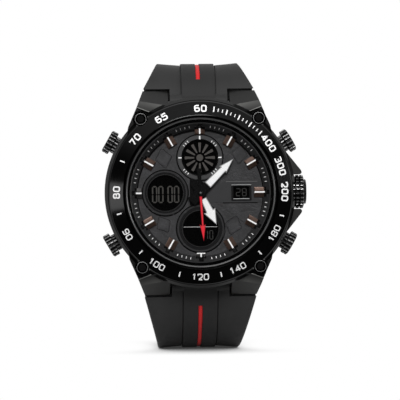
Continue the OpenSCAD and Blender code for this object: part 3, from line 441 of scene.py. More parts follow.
@dataclass(frozen=True)
class KnobPlating(Finish):
    """Black plating of a ribbed knob, with painted shade everywhere but on the crests of its ribs, whose tone varies
    at random.
    """

    heading: float = 0.0
    crest: float = 4.18
    collar: Flat = (0.0, 0.0)
    axis_z: float = 5.0

    def skin(self, paint: Paint) -> Skin:
        """Works out the plating.

        Args:
            paint: The node tree to build in.

        Returns:
            The skin.
        """
        c, s = math.cos(math.radians(self.heading)), math.sin(math.radians(self.heading))
        out = abs(paint.x) * c + abs(paint.y) * s
        across, rise = abs(paint.x) * s - abs(paint.y) * c, paint.z - self.axis_z
        radius = (across * across + rise * rise) ** 0.5
        crest = paint.ease(radius, self.crest - 0.14, self.crest - 0.06)
        collar = paint.ease(radius, self.collar[1] - 0.14, self.collar[1] - 0.06) * (out < self.collar[0])
        patchy = paint.ease(paint.noise(0.9, 2), 0.3, 0.7)
        ridge = self.mottle(paint, patchy, 0.45, 1.3)
        # painted shade: all but the crests of the ribs nearly black
        colour = paint.blend(paint.larger(crest, collar), self.shade(0.03), ridge)
        return Skin(colour, self.roughness + (patchy - 0.5) * 0.1, paint.bump(paint.noise(7), 0.002))


@dataclass(frozen=True)
class Turned(Grained):
    """Metal turned or brushed in circles about the dial's axis."""

    shares: tuple[float, ...] = (0.6, 0.4)
    shades: Flat = (0.82, 1.15)
    swings: tuple[float, ...] = (0.2, 0.1)

    def patterns(self, paint: Paint) -> tuple[Value, ...]:
        """Turned rings and stains."""
        return paint.noise(1, 4, paint.round_place(3, 7)), paint.noise(0.25, 3)


@dataclass(frozen=True)
class DialGrain(Finish):
    """Dial paint over a fine leather-like stamping, with painted shade in its creases and a painted shadow of the
    bezel towards 12.
    """

    stamp: float = 2.6

    def skin(self, paint: Paint) -> Skin:
        """Works out the stamped dial.

        Args:
            paint: The node tree to build in.

        Returns:
            The skin.
        """
        noise = paint.node("TexNoise", {}, {"Vector": paint.place, "Scale": self.stamp * 1.4}).outputs["Color"]
        waver = paint.node("VectorMath", {"operation": "SCALE"}, {0: noise, "Scale": 0.5}).outputs[0]
        warp = paint.node("VectorMath", {"operation": "ADD"}, {0: paint.place, 1: waver}).outputs[0]
        crease = paint.ease(paint.cells(self.stamp, "DISTANCE_TO_EDGE", warp), 0.0, 0.2)
        cloud = paint.ease(paint.noise(0.4, 5), 0.25, 0.75)
        fine = paint.noise(5, 3)
        tone = self.mottle(paint, cloud, 0.55, 1.75)
        # painted shade in the creases of the stamping
        grain = paint.blend(crease * 0.45 + fine * 0.55, self.shade(0.45), tone)
        # painted shadow of the bezel, darker towards 12
        colour = paint.blend(paint.ease(paint.y, 11.5, 14.8) * 0.75, grain, self.shade(0.1))
        relief = paint.bump(crease * 0.5 + fine * 0.7 + cloud, 0.08, 0.8)
        return Skin(colour, self.roughness + (fine - 0.5) * 0.15, relief)


@dataclass(frozen=True)
class Enamel(Grained):
    """Smooth thick paint, as on the hands and the printed figures, with painted shade on bevelled edges."""

    shades: Flat = (0.94, 1.04)
    swings: tuple[float, ...] = (0.0, 0.1)
    depth: float = 0.002
    # tone of the painted shade on edges that lean; 1 paints none
    edge: float = 1.0

    def patterns(self, paint: Paint) -> tuple[Value, ...]:
        """Orange peel and a soft cloud."""
        return paint.noise(9), paint.noise(1.1, 3)

    def skin(self, paint: Paint) -> Skin:
        """Works out the paint, with painted shade on edges that lean.

        Args:
            paint: The node tree to build in.

        Returns:
            The skin.
        """
        skin = super().skin(paint)
        # painted shade on the leaning edges
        skin.colour = paint.blend(paint.ease(paint.facing()[1], 0.8, 0.95), self.shade(self.edge), skin.colour)
        return skin


@dataclass(frozen=True)
class Clear(Finish):
    """Mineral glass, nearly all clear, with faint wiping marks."""

    alpha: float = 0.8

    def skin(self, paint: Paint) -> Skin:
        """Works out the glass.

        Args:
            paint: The node tree to build in.

        Returns:
            The skin.
        """
        wipe = paint.noise(1, 3, paint.stretched((0.05, 0.4, 0.4)))
        mirror = Value(paint, paint.node("Fresnel", {}, {"IOR": 1.45}).outputs[0])
        return Skin(self.colour, self.roughness + wipe * 0.03, alpha=mirror * self.alpha)


@dataclass(frozen=True)
class Board(Grained):
    """Green solder mask over copper tracks."""

    shares: tuple[float, ...] = (1.0,)
    shades: Flat = (1.0, 2.0)
    swings: tuple[float, ...] = (-0.1,)
    depth: float = 0.03
    across: Point = (1.1, 0.28, 0.34)
    along: Point = (1.7, 0.5, 0.58)
    bare: float = 0.47

    def patterns(self, paint: Paint) -> tuple[Value, ...]:
        """Crossing tracks, with bare patches between them.

        Args:
            paint: The node tree to build in.

        Returns:
            The one pattern.
        """
        lanes = []
        for axis, (pitch, low, high) in ((paint.x, self.across), (paint.y, self.along)):
            lanes.append(paint.ease(abs((axis % pitch) - pitch / 2), low, high))
        return (paint.larger(*lanes) * (paint.noise(0.3) > self.bare),)


@dataclass(frozen=True)
class Winding(Grained):
    """Fine enamelled wire wound round a core that lies along Y."""

    shares: tuple[float, ...] = (1.0,)
    # darker between the turns: painted shade
    shades: Flat = (0.45, 1.1)
    swings: tuple[float, ...] = (-0.2,)
    depth: float = 0.05
    pitch: float = 0.12

    def patterns(self, paint: Paint) -> tuple[Value, ...]:
        """Turns of the wire."""
        return (paint.maths("SINE", paint.y * (math.tau / self.pitch)) * 0.5 + 0.5,)


def grey(tone: float) -> Colour:
    """Plain grey of one tone."""
    return (tone, tone, tone)


CASE = CasePlating("case_satin_black", (0.02, 0.02, 0.0192), 0.42, 0.2, 0.25)
BEZEL = BezelPlating("bezel_polished_black", grey(0.09), 0.12, 1.0)
INSERT = Lacquer("insert_gloss_black", grey(0.0005), 0.13, gloss=0.3)
SCREW = Lacquer("screw_gloss_black", grey(0.008), 0.17, 1.0)
# screw rims lighter than the heads: painted highlight
RIM = Lacquer("screw_rim_painted_highlight", grey(0.17), 0.41, 0.7)
# ribbed knobs with painted shade between their ribs
CROWN = KnobPlating("crown_gloss_black", grey(0.25), 0.25, 0.8)
PUSHER = KnobPlating("pusher_gloss_black", grey(0.25), 0.35, 0.6, heading=30, crest=2.94, collar=(24.66, 2.13))
TUBE = Plated("tube_gloss_black", grey(0.02), 0.2, 1.0)
# black spring bars; their black also stands in for the shade in the lug gaps
BAR = Plated("spring_bar_black", grey(0.01), 0.3, 1.0)
STEEL = Plated("steel_bright", (0.55, 0.55, 0.56), 0.25, 1.0)
BUCKLE = Plated("buckle_satin_black", grey(0.06), 0.35, 0.8, brushed=(9.0, 0.4, 9.0))
COPPER = Plated("marker_brown", (0.088, 0.054, 0.041), 0.38, 0.7, brushed=(3.0, 3.0, 9.0))
DARK_MARKER = Plated("marker_dark_grey", (0.03, 0.028, 0.027), 0.38, 0.5, brushed=(3.0, 3.0, 9.0))
BACK = Turned("back_turned_steel", (0.5, 0.5, 0.51), 0.3, 1.0)
# light grey seal lip standing in for the crystal's bright edge: painted highlight
GASKET = Turned("gasket_painted_highlight", grey(0.13), 0.3, 0.6)
RING = Turned("subdial_ring_grey", (0.05, 0.05, 0.051), 0.4, 0.2, 0.3)
BEAD = Turned("subdial_bead_steel", grey(0.03), 0.35, 0.4, 0.2)
DARK_RING = Turned("subdial_ring_dark", (0.008, 0.008, 0.0083), 0.4, 0.2, 0.1)
STEP_RING = Turned("subdial_step_grey", (0.032, 0.032, 0.033), 0.4, 0.3, 0.2)
BRASS = Turned("brass_turned", (0.62, 0.47, 0.22), 0.32, 1.0)
GLASS = Clear("crystal_clear", (0.9, 0.92, 0.94), 0.02, 1.0, alpha=0.3)
DIAL = DialGrain("dial_stamped_grey", (0.0178, 0.0174, 0.0196), 0.6, stamp=1.5)
PANEL = DialGrain("dial_panel_grey", (0.021, 0.0206, 0.0232), 0.55, stamp=2.2)
BAND = Grained("dial_band_grey", (0.021, 0.021, 0.0225), 0.5, gloss=0.3)
CHAPTER = Grained("chapter_dark_grey", (0.019, 0.019, 0.0195), 0.4, gloss=0.3, swings=(0.0, 0.12))
HOLDER = Grained("holder_pale_plastic", (0.6, 0.6, 0.57), 0.5)
DISPLAY = Lacquer("display_dark_glass", grey(0.0005), 0.09, gloss=0.1)
FAINT = Enamel("display_faint", (0.024, 0.024, 0.022), 0.5, gloss=0.2)
SEGMENT = Enamel("display_segments", (0.04, 0.038, 0.034), 0.55, gloss=0.2)
BLADE = Enamel("display_blades", (0.06, 0.055, 0.051), 0.55, gloss=0.2)
# edge: painted shade on the hands' bevelled edges
WHITE = Enamel("paint_white", grey(0.92), 0.4, edge=0.38)
PRINT = Enamel("print_white", grey(0.95), 0.4)
PALE = Enamel("paint_pale_grey", (0.4, 0.41, 0.41), 0.45)
# painted highlight along the upper edge of the dial's band
BAND_HIGHLIGHT = Enamel("band_painted_highlight_grey", grey(0.11), 0.5)
# edge: painted shade on the second hand's bevelled edges
RED = Enamel("paint_red", (0.78, 0.012, 0.03), 0.35, edge=0.45)
BLACK = Enamel("paint_black", grey(0.003), 0.25, gloss=0.15)
SEAL = Rubber("seal_black", grey(0.015), 0.6, gloss=0.35, grain=12)
STRAP = Rubber("strap_moulded_rubber", grey(0.0285), 0.55, gloss=0.12)
STRIPE = Rubber("stripe_rubber", (0.72, 0.018, 0.02), 0.5, gloss=0.35, grain=10)
BOARD = Board("board_green_mask", (0.02, 0.11, 0.05), 0.35)
WIRE = Winding("wire_copper", (0.55, 0.2, 0.07), 0.45, 0.9)


# Mesh making


def clock(degrees: float) -> tuple[Vector, Vector]:
    """Outward and clockwise unit vectors at an angle clockwise from 12."""
    angle = math.radians(degrees)
    return Vector((math.sin(angle), math.cos(angle), 0)), Vector((math.cos(angle), -math.sin(angle), 0))


def turned(degrees: float, place: Point = (0, 0, 0)) -> Matrix:
    """A turn about Z, then a move to a place."""
    return Matrix.Translation(place) @ Matrix.Rotation(math.radians(degrees), 4, "Z")


def circle(radius: float, steps: int) -> list[Flat]:
    """Points of a circle round the origin."""
    turns = [math.tau * i / steps for i in range(steps)]
    return [(radius * math.cos(turn), radius * math.sin(turn)) for turn in turns]


def rectangle(x0: float, y0: float, x1: float, y1: float) -> list[Flat]:
    """Corners of the rectangle between two opposite corners."""
    return [(x0, y0), (x1, y0), (x1, y1), (x0, y1)]


def mirrored(half: Sequence[Flat]) -> list[Flat]:
    """Closed outline of a half and its mirror image across the second axis."""
    return [*half, *((-x, y) for x, y in reversed(half))]


def rounded(corners: Sequence[Flat], radius: float, closed: bool = False, steps: int = 5) -> list[Flat]:
    """Path whose inner corners are turned into arcs.

    Args:
        corners: The path's corner points.
        radius: Radius of each arc, kept under half of the shorter side.
        closed: Whether the path returns to its start.
        steps: Pieces in each arc.

    Returns:
        The points of the path.
    """
    count = len(corners)
    path: list[Flat] = []
    for i, corner in enumerate(corners):
        here = Vector(corner)
        if not closed and i in (0, count - 1):
            path.append(corner)
            continue
        before, after = Vector(corners[i - 1]) - here, Vector(corners[(i + 1) % count]) - here
        reach = min(radius / math.tan(before.angle(after) / 2), before.length * 0.499, after.length * 0.499)
        start, end = here + before.normalized() * reach, here + after.normalized() * reach
        for t in (k / steps for k in range(steps + 1)):
            spot = start * (1 - t) ** 2 + here * (2 * t * (1 - t)) + end * t**2
            path.append((spot.x, spot.y))
    return path


def offset(outline: Sequence[Flat], gap: float, closed: bool = True) -> list[Flat]:
    """Outline moved to its left, with mitred corners.

    Args:
        outline: Its points.
        gap: How far it moves.
        closed: Whether the last point joins the first.

    Returns:
        The moved points.
    """
    count = len(outline)
    moved: list[Flat] = []
    for i in range(count):
        here = Vector(outline[i])
        before = here - Vector(outline[i - 1]) if closed or i else Vector(outline[1]) - here
        after = Vector(outline[(i + 1) % count]) - here if closed or i < count - 1 else before
        first, second = before.normalized(), after.normalized()
        side = Vector((-first.y, first.x))
        middle = Vector((-(first.y + second.y), first.x + second.x))
        middle = (middle if middle.length >= 1e-6 else side).normalized()
        spot = here + middle * (gap / max(0.45, middle.dot(side)))
        moved.append((spot.x, spot.y))
    return moved


class Shape:
    """Points and faces of one piece in millimetres, before it becomes an object."""

    def __init__(self) -> None:
        """Starts an empty shape."""
        self.points: list[Vector] = []
        self.faces: list[list[int]] = []

    def rings(self, rings: Sequence[Sequence[Point]], closed: bool = False) -> "Shape":
        """Adds a skin through rings of as many points each.

        Args:
            rings: The rings in order.
            closed: Whether the last ring joins the first; if not, both ends get a face.

        Returns:
            This shape.
        """
        base, size, count = len(self.points), len(rings[0]), len(rings)
        self.points += [Vector(point) for ring in rings for point in ring]
        for i in range(count if closed else count - 1):
            here, there = base + i * size, base + (i + 1) % count * size
            for j in range(size):
                k = (j + 1) % size
                self.faces.append([here + j, there + j, there + k, here + k])
        if not closed:
            self.faces.append([base + j for j in range(size)])
            self.faces.append([base + (count - 1) * size + j for j in range(size)][::-1])
        return self

    def layers(self, levels: Sequence[tuple[Sequence[Flat], float]], closed: bool = False) -> "Shape":
        """Adds a skin through flat outlines, each at its own height."""
        return self.rings([[(x, y, z) for x, y in line] for line, z in levels], closed)

    def plate(self, outline: Sequence[Flat], low: float, high: float, chamfer: float = 0.0) -> "Shape":
        """Adds a flat plate on a counter-clockwise outline, with a chamfered upper edge."""
        top = [(offset(outline, chamfer), high)] if chamfer else []
        return self.layers([(outline, low), (outline, high - chamfer), *top])

    def ribbon(self, path: Sequence[Flat], width: float, low: float, high: float, closed: bool = False) -> "Shape":
        """Adds a flat stroke of one width along a path."""
        sides = zip(offset(path, width / 2, closed), offset(path, -width / 2, closed))
        return self.rings([[(*a, low), (*a, high), (*b, high), (*b, low)] for a, b in sides], closed)

    def lathe(self, profile: Sequence[Flat], steps: int = 96, arc: Flat | None = None) -> "Shape":
        """Adds a ring turned about Z.

        Args:
            profile: Closed outline of (radius, height) points.
            steps: Pieces in the turn.
            arc: First and last angle in degrees where it isn't a full turn.

        Returns:
            This shape.
        """
        first, last = arc or (0, 360)
        count = steps if arc is None else steps + 1
        angles = [math.radians(first + (last - first) * i / steps) for i in range(count)]
        rows = [[(r * math.cos(a), r * math.sin(a), z) for r, z in profile] for a in angles]
        return self.rings(rows, closed=arc is None)

    def box(self, middle: Point, size: Point, chamfer: float = 0.0) -> "Shape":
        """Adds a block with a chamfered upper edge."""
        (x, y, z), (w, d, h) = middle, [length / 2 for length in size]
        return self.plate(rectangle(x - w, y - d, x + w, y + d), z - h, z + h, chamfer)

    def join(self, other: "Shape", *moves: Matrix) -> "Shape":
        """Adds another shape.

        Args:
            other: The shape.
            moves: One matrix for each copy, or none for one copy where it is.

        Returns:
            This shape.
        """
        for move in moves or (Matrix(),):
            base = len(self.points)
            self.points += [move @ point for point in other.points]
            self.faces += [[base + i for i in face] for face in other.faces]
        return self

    def bend(self, rule: Callable[[Vector], Vector]) -> "Shape":
        """Moves every point by a rule."""
        self.points = [rule(point) for point in self.points]
        return self

    def mesh(self, name: str) -> bpy.types.Object:
        """Makes a plain object in metres from the shape.

        Args:
            name: The object's name.

        Returns:
            The object.
        """
        data = bpy.data.meshes.new(name)
        data.from_pydata([point * MM for point in self.points], [], self.faces)
        work = bmesh.new()
        work.from_mesh(data)
        bmesh.ops.dissolve_degenerate(work, dist=1e-4 * MM, edges=work.edges)
        bmesh.ops.recalc_face_normals(work, faces=work.faces)
        work.to_mesh(data)
        work.free()
        piece = bpy.data.objects.new(name, data)
        bpy.context.scene.collection.objects.link(piece)
        return piece


def smooth(piece: bpy.types.Object, degrees: float) -> None:
    """Shades a piece smooth, but for edges sharper than an angle."""
    piece.data.shade_smooth()
    piece.data.set_sharp_from_angle(angle=math.radians(degrees))


def bevel(piece: bpy.types.Object, width: float, degrees: float) -> None:
    """Rounds a piece's edges.

    Args:
        piece: The object.
        width: Width of the rounding in millimetres.
        degrees: Angle above which an edge is rounded.
    """
    edge = piece.modifiers.new("edge", "BEVEL")
    edge.width = width * MM
    edge.segments = 2
    edge.limit_method = "ANGLE"
    edge.angle_limit = math.radians(degrees)
    edge.harden_normals = False


def carve(piece: bpy.types.Object, tool: Shape, operation: str = "DIFFERENCE") -> None:
    """Cuts a tool shape out of a piece, or joins it on, for good.

    Args:
        piece: The object.
        tool: The other shape.
        operation: The boolean's name.
    """
    cutter = tool.mesh("tool")
    cut = piece.modifiers.new("carve", "BOOLEAN")
    cut.operation = operation
    cut.solver = "EXACT"
    cut.object = cutter
    bpy.context.view_layer.update()
    shaped = bpy.data.meshes.new_from_object(piece.evaluated_get(bpy.context.evaluated_depsgraph_get()))
    piece.modifiers.remove(cut)
    piece.data = shaped
    bpy.data.objects.remove(cutter)


@dataclass(frozen=True)
class Seat:
    """Where a new piece belongs: its body, a slot name and the CAD nodes it stands for."""

    body: str
    slot: str
    nodes: tuple[str, ...] = ()


def settle(piece: bpy.types.Object, seat: Seat, finish: Finish, edge: float = 0.0, crease: float = 32.0) -> None:
    """Gives a piece its finish and hands it to its body.

    Args:
        piece: The object.
        seat: Its body, slot and replaced nodes.
        finish: Its surface.
        edge: Width of its rounded edges in millimetres, or 0.
        crease: Angle above which an edge stays sharp.
    """
    piece.data.materials.clear()
    piece.data.materials.append(finish.material())
    smooth(piece, crease)
    if edge:
        bevel(piece, edge, 40)
    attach(piece, seat.body)
    if seat.nodes:
        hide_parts(*seat.nodes)
    log.info("%s: %s on %s", piece.name, finish.name, seat.body)


def on_case(name: str, shape: Shape, slot: str, finish: Finish, *nodes: str, edge: float = 0.0) -> None:
    """Makes a piece of a shape and settles it on the case."""
    settle(shape.mesh(name), Seat("case", slot, nodes), finish, edge)


def dress(finish: Finish, *nodes: str, edge: float = 0.0) -> None:
    """Gives CAD nodes their finish.

    Args:
        finish: Their surface.
        nodes: Their names.
        edge: Width of their rounded edges in millimetres, or 0.
    """
    for node in nodes:
        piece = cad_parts[node]
        for place in piece.material_slots:
            place.material = finish.material()
        if edge:
            bevel(piece, edge, 32)
        log.info("%s: %s", node, finish.name)


# Figures


H = 1.3
STROKES: dict[str, list[tuple[list[Flat], bool]]] = {
    "0": [([(0, 0), (1, 0), (1, H), (0, H)], True)],
    "1": [([(0.25, H - 0.3), (0.62, H), (0.62, 0)], False)],
    "2": [([(0, H - 0.35), (0, H), (1, H), (1, 0.62), (0.02, 0), (1.05, 0)], False)],
    "3": [([(0, H), (1, H), (1, 0.68), (0.35, 0.68)], False), ([(0.35, 0.68), (1, 0.68), (1, 0), (0, 0)], False)],
    "4": [([(0.78, 0), (0.78, H), (0, 0.36), (1.1, 0.36)], False)],
    "5": [([(0.96, H), (0.06, H), (0.03, 0.66)], False), ([(0.03, 0.76), (1, 0.76), (1, 0), (0, 0), (0, 0.2)], False)],
    "6": [([(0.95, H), (0, H), (0, 0), (1, 0), (1, 0.74), (0, 0.74)], False)],
    "7": [([(0, H), (1, H), (0.4, 0)], False)],
    "8": [([(0.04, 0.68), (0.96, 0.68), (0.96, H), (0.04, H)], True), ([(0, 0), (1, 0), (1, 0.68), (0, 0.68)], True)],
    "9": [([(0.05, 0), (1, 0), (1, H), (0, H), (0, 0.56), (1, 0.56)], False)],
}
BARS: dict[str, tuple[Flat, Flat]] = {
    "a": ((-1, 1), (1, 1)), "b": ((1, 1), (1, 0)), "c": ((1, 0), (1, -1)), "d": ((-1, -1), (1, -1)),
    "e": ((-1, 0), (-1, -1)), "f": ((-1, 1), (-1, 0)), "g": ((-1, 0), (1, 0)),
}
SEGMENTS = {"0": "abcdef", "1": "bc", "2": "abged", "8": "abcdefg"}


class Facing(Enum):
    """Which way the tops of a figure point on the bezel."""

    OUT = 1
    IN = -1


def figure(digit: str, height: float, stroke: float) -> Shape:
    """Stroked figure, centred on the origin and standing along +Y.

    Args:
        digit: The figure.
        height: Its height over all.
        stroke: Width of the line.

    Returns:
        The flat shape between z 0 and z 1.
    """
    size = (height - stroke) / H
    shape = Shape()
    for corners, closed in STROKES[digit]:
        sharp = digit in "147" or len(corners) == 3
        path = rounded(corners, 0.02 if sharp else 0.36, closed, 2 if sharp else 5)
        shape.ribbon([(x * size - size / 2, (y - H / 2) * size) for x, y in path], stroke, 0, 1, closed)
    return shape


def segment_digit(digit: str, width: float, height: float, stroke: float) -> Shape:
    """One digit of a display, centred on the origin, as pointed bars.

    Args:
        digit: The figure.
        width: Distance between its upright bars.
        height: Distance between its top and bottom bars.
        stroke: Width of a bar.

    Returns:
        The flat shape between z 0 and z 1.
    """
    half, gap = stroke / 2, stroke * 0.62
    shape = Shape()
    for bar in SEGMENTS[digit]:
        start, end = (Vector((x * width / 2, y * height / 2)) for x, y in BARS[bar])
        along = (end - start).normalized()
        side = Vector((-along.y, along.x)) * half
        a, b = start + along * gap, end - along * gap
        outline = [a - along * half, a - side, b - side, b + along * half, b + side, a + side]
        shape.plate([(v.x, v.y) for v in outline], 0, 1)
    return shape


# Sub-assemblies


@dataclass
class Bezel:
    """Bezel, its printed scale, its four screws, the crystal and the crystal's seal."""

    middle_r: float = 20.85
    rim: Flat = (22.6, 11.7)
    slope: Flat = (3.45, 1.6)
    proud: float = 0.03
    bury: float = 0.02
    screw: Flat = (14.65, 18.37)
    head_top: float = 11.71
    outward: tuple[tuple[str, float], ...] = (
        ("60", 0.4), ("400", 54.4), ("300", 72.1), ("200", 89.9), ("80", 270.7), ("70", 309.6), ("65", 332.8),
    )
    inward: tuple[tuple[str, float], ...] = (
        ("180", 119.7), ("140", 154.7), ("120", 181.1), ("100", 212.4), ("90", 240.9),
    )
    outward_print: Flat = (1.75, 0.34)
    inward_print: Flat = (1.65, 0.27)
    single_ticks: tuple[float, ...] = (106.4, 136.0, 166.6, 195.2, 225.9, 256.0, 292.3)
    single_tick: Flat = (0.32, 1.2)
    fine_tick: Flat = (0.2, 0.8)
    third_tick: Flat = (0.3, 1.3)
    fine_from: float = 9.6
    fine_pitch: float = 3
    fine_count: int = 13
    crystal: Outline = ((0.0, 11.72), (18.1, 11.72), (18.1, 13.12), (17.96, 13.3), (0.0, 13.3))
    # the seal's light lip is a painted highlight for the crystal's bright edge, its black outer ring a painted shadow
    lip: Outline = ((18.12, 11.72), (18.46, 11.72), (18.46, 13.12), (18.4, 13.16), (18.16, 13.04), (18.12, 12.98))
    seal: Outline = ((18.47, 11.72), (18.78, 11.72), (18.78, 12.9), (18.7, 12.96), (18.5, 12.96), (18.47, 12.9))
    socket: Outline = ((0.95, 0.012), (0.9, 0.015), (0.82, -0.1), (0.8, -0.55), (0.3, -0.7), (0.38, -0.9))

    def cone_z(self, radius: float) -> float:
        """Height of the bezel's sloping face at a radius."""
        return self.rim[1] + self.slope[1] * (self.rim[0] - radius) / self.slope[0]

    def on_cone(self, degrees: float, facing: Facing = Facing.OUT) -> Callable[[Vector], Vector]:
        """Rule that lays a flat shape on the bezel's slope.

        Args:
            degrees: Its clock angle.
            facing: Which way its top points.

        Returns:
            The rule.
        """
        out, side = clock(degrees)

        def lay(point: Vector) -> Vector:
            """Place of one flat point on the slope, from its height of 0 to 1."""
            spot = out * (self.middle_r + point.y * facing.value) + side * (point.x * facing.value)
            return spot + Vector((0, 0, self.cone_z(spot.length) + point.z * self.proud - (1 - point.z) * self.bury))

        return lay

    def number(self, text: str, degrees: float, facing: Facing, height: float, stroke: float) -> Shape:
        """Figures laid digit by digit round the bezel.

        Args:
            text: The digits.
            degrees: Clock angle of their middle.
            facing: Which way their tops point.
            height: Their height over all.
            stroke: Width of the line.

        Returns:
            Their shape.
        """
        pitch = math.degrees(((height - stroke) / H + stroke * 1.75) / self.middle_r) * facing.value
        ring = Shape()
        for i, digit in enumerate(text):
            turn = degrees + (i - (len(text) - 1) / 2) * pitch
            ring.join(figure(digit, height, stroke).bend(self.on_cone(turn, facing)))
        return ring

    def scale(self) -> Shape:
        """All printed figures and ticks of the bezel.

        Returns:
            Their shape.
        """
        scale = Shape()
        for text, angle in self.outward:
            scale.join(self.number(text, angle, Facing.OUT, *self.outward_print))
        for text, angle in self.inward:
            scale.join(self.number(text, angle, Facing.IN, *self.inward_print))
        ticks = [(angle, self.single_tick) for angle in self.single_ticks]
        for i in range(self.fine_count):
            ticks.append((self.fine_from + i * self.fine_pitch, self.fine_tick if i % 3 else self.third_tick))
        for angle, size in ticks:
            scale.join(Shape().box((0, 0, 0.5), (*size, 1)).bend(self.on_cone(angle)))
        return scale

    def at_screws(self, shape: Shape) -> Shape:
        """Copies of a shape at the four bezel screws."""
        (x, y), z = self.screw, self.head_top
        return Shape().join(shape, *(Matrix.Translation((*spot, z)) for spot in rectangle(x, y, -x, -y)))

    def screw_rim(self) -> Shape:
        """Polished rounded rim of a screw's head."""
        arc = [(1.39 + 0.16 * math.cos(a), -0.16 + 0.165 * math.sin(a)) for a in map(math.radians, range(-20, 91, 22))]
        return Shape().lathe([(1.3, -0.3), *arc, (1.3, 0.0)], 64)

    def build(self) -> None:
        """Makes the print, the crystal and its seal, the screws' sockets and rims, and dresses the CAD nodes; the
        seal's lip is a painted highlight, its outer ring a painted shadow and the rims painted highlights.
        """
        # bezel ring with painted shade and painted highlight lines
        dress(BEZEL, "bezel_ring", edge=0.13)
        dress(INSERT, "bezel_insert")
        dress(SCREW, "bezel_screws", edge=0.2)
        on_case("crystal_plate", Shape().lathe(self.crystal, 160), "crystal_glass", GLASS, "crystal")
        # light grey seal lip: painted highlight for the crystal's bright edge
        on_case("crystal_seal_painted_highlight", Shape().lathe(self.lip, 160), "gasket_plastic", GASKET, "crystal_gasket")
        # black outer seal ring: painted shadow round the crystal
        on_case("crystal_seal_painted_shadow", Shape().lathe(self.seal, 160), "gasket_plastic", BLACK)
        socket = Shape().layers([(circle(radius, 6), z) for radius, z in self.socket])
        on_case("screw_sockets", self.at_screws(socket), "screw_black", BLACK)
        # lighter rims round the screw heads: painted highlight
        on_case("screw_rims", self.at_screws(self.screw_rim()), "screw_black", RIM)
        on_case("bezel_scale", self.scale(), "insert_gloss", PRINT)


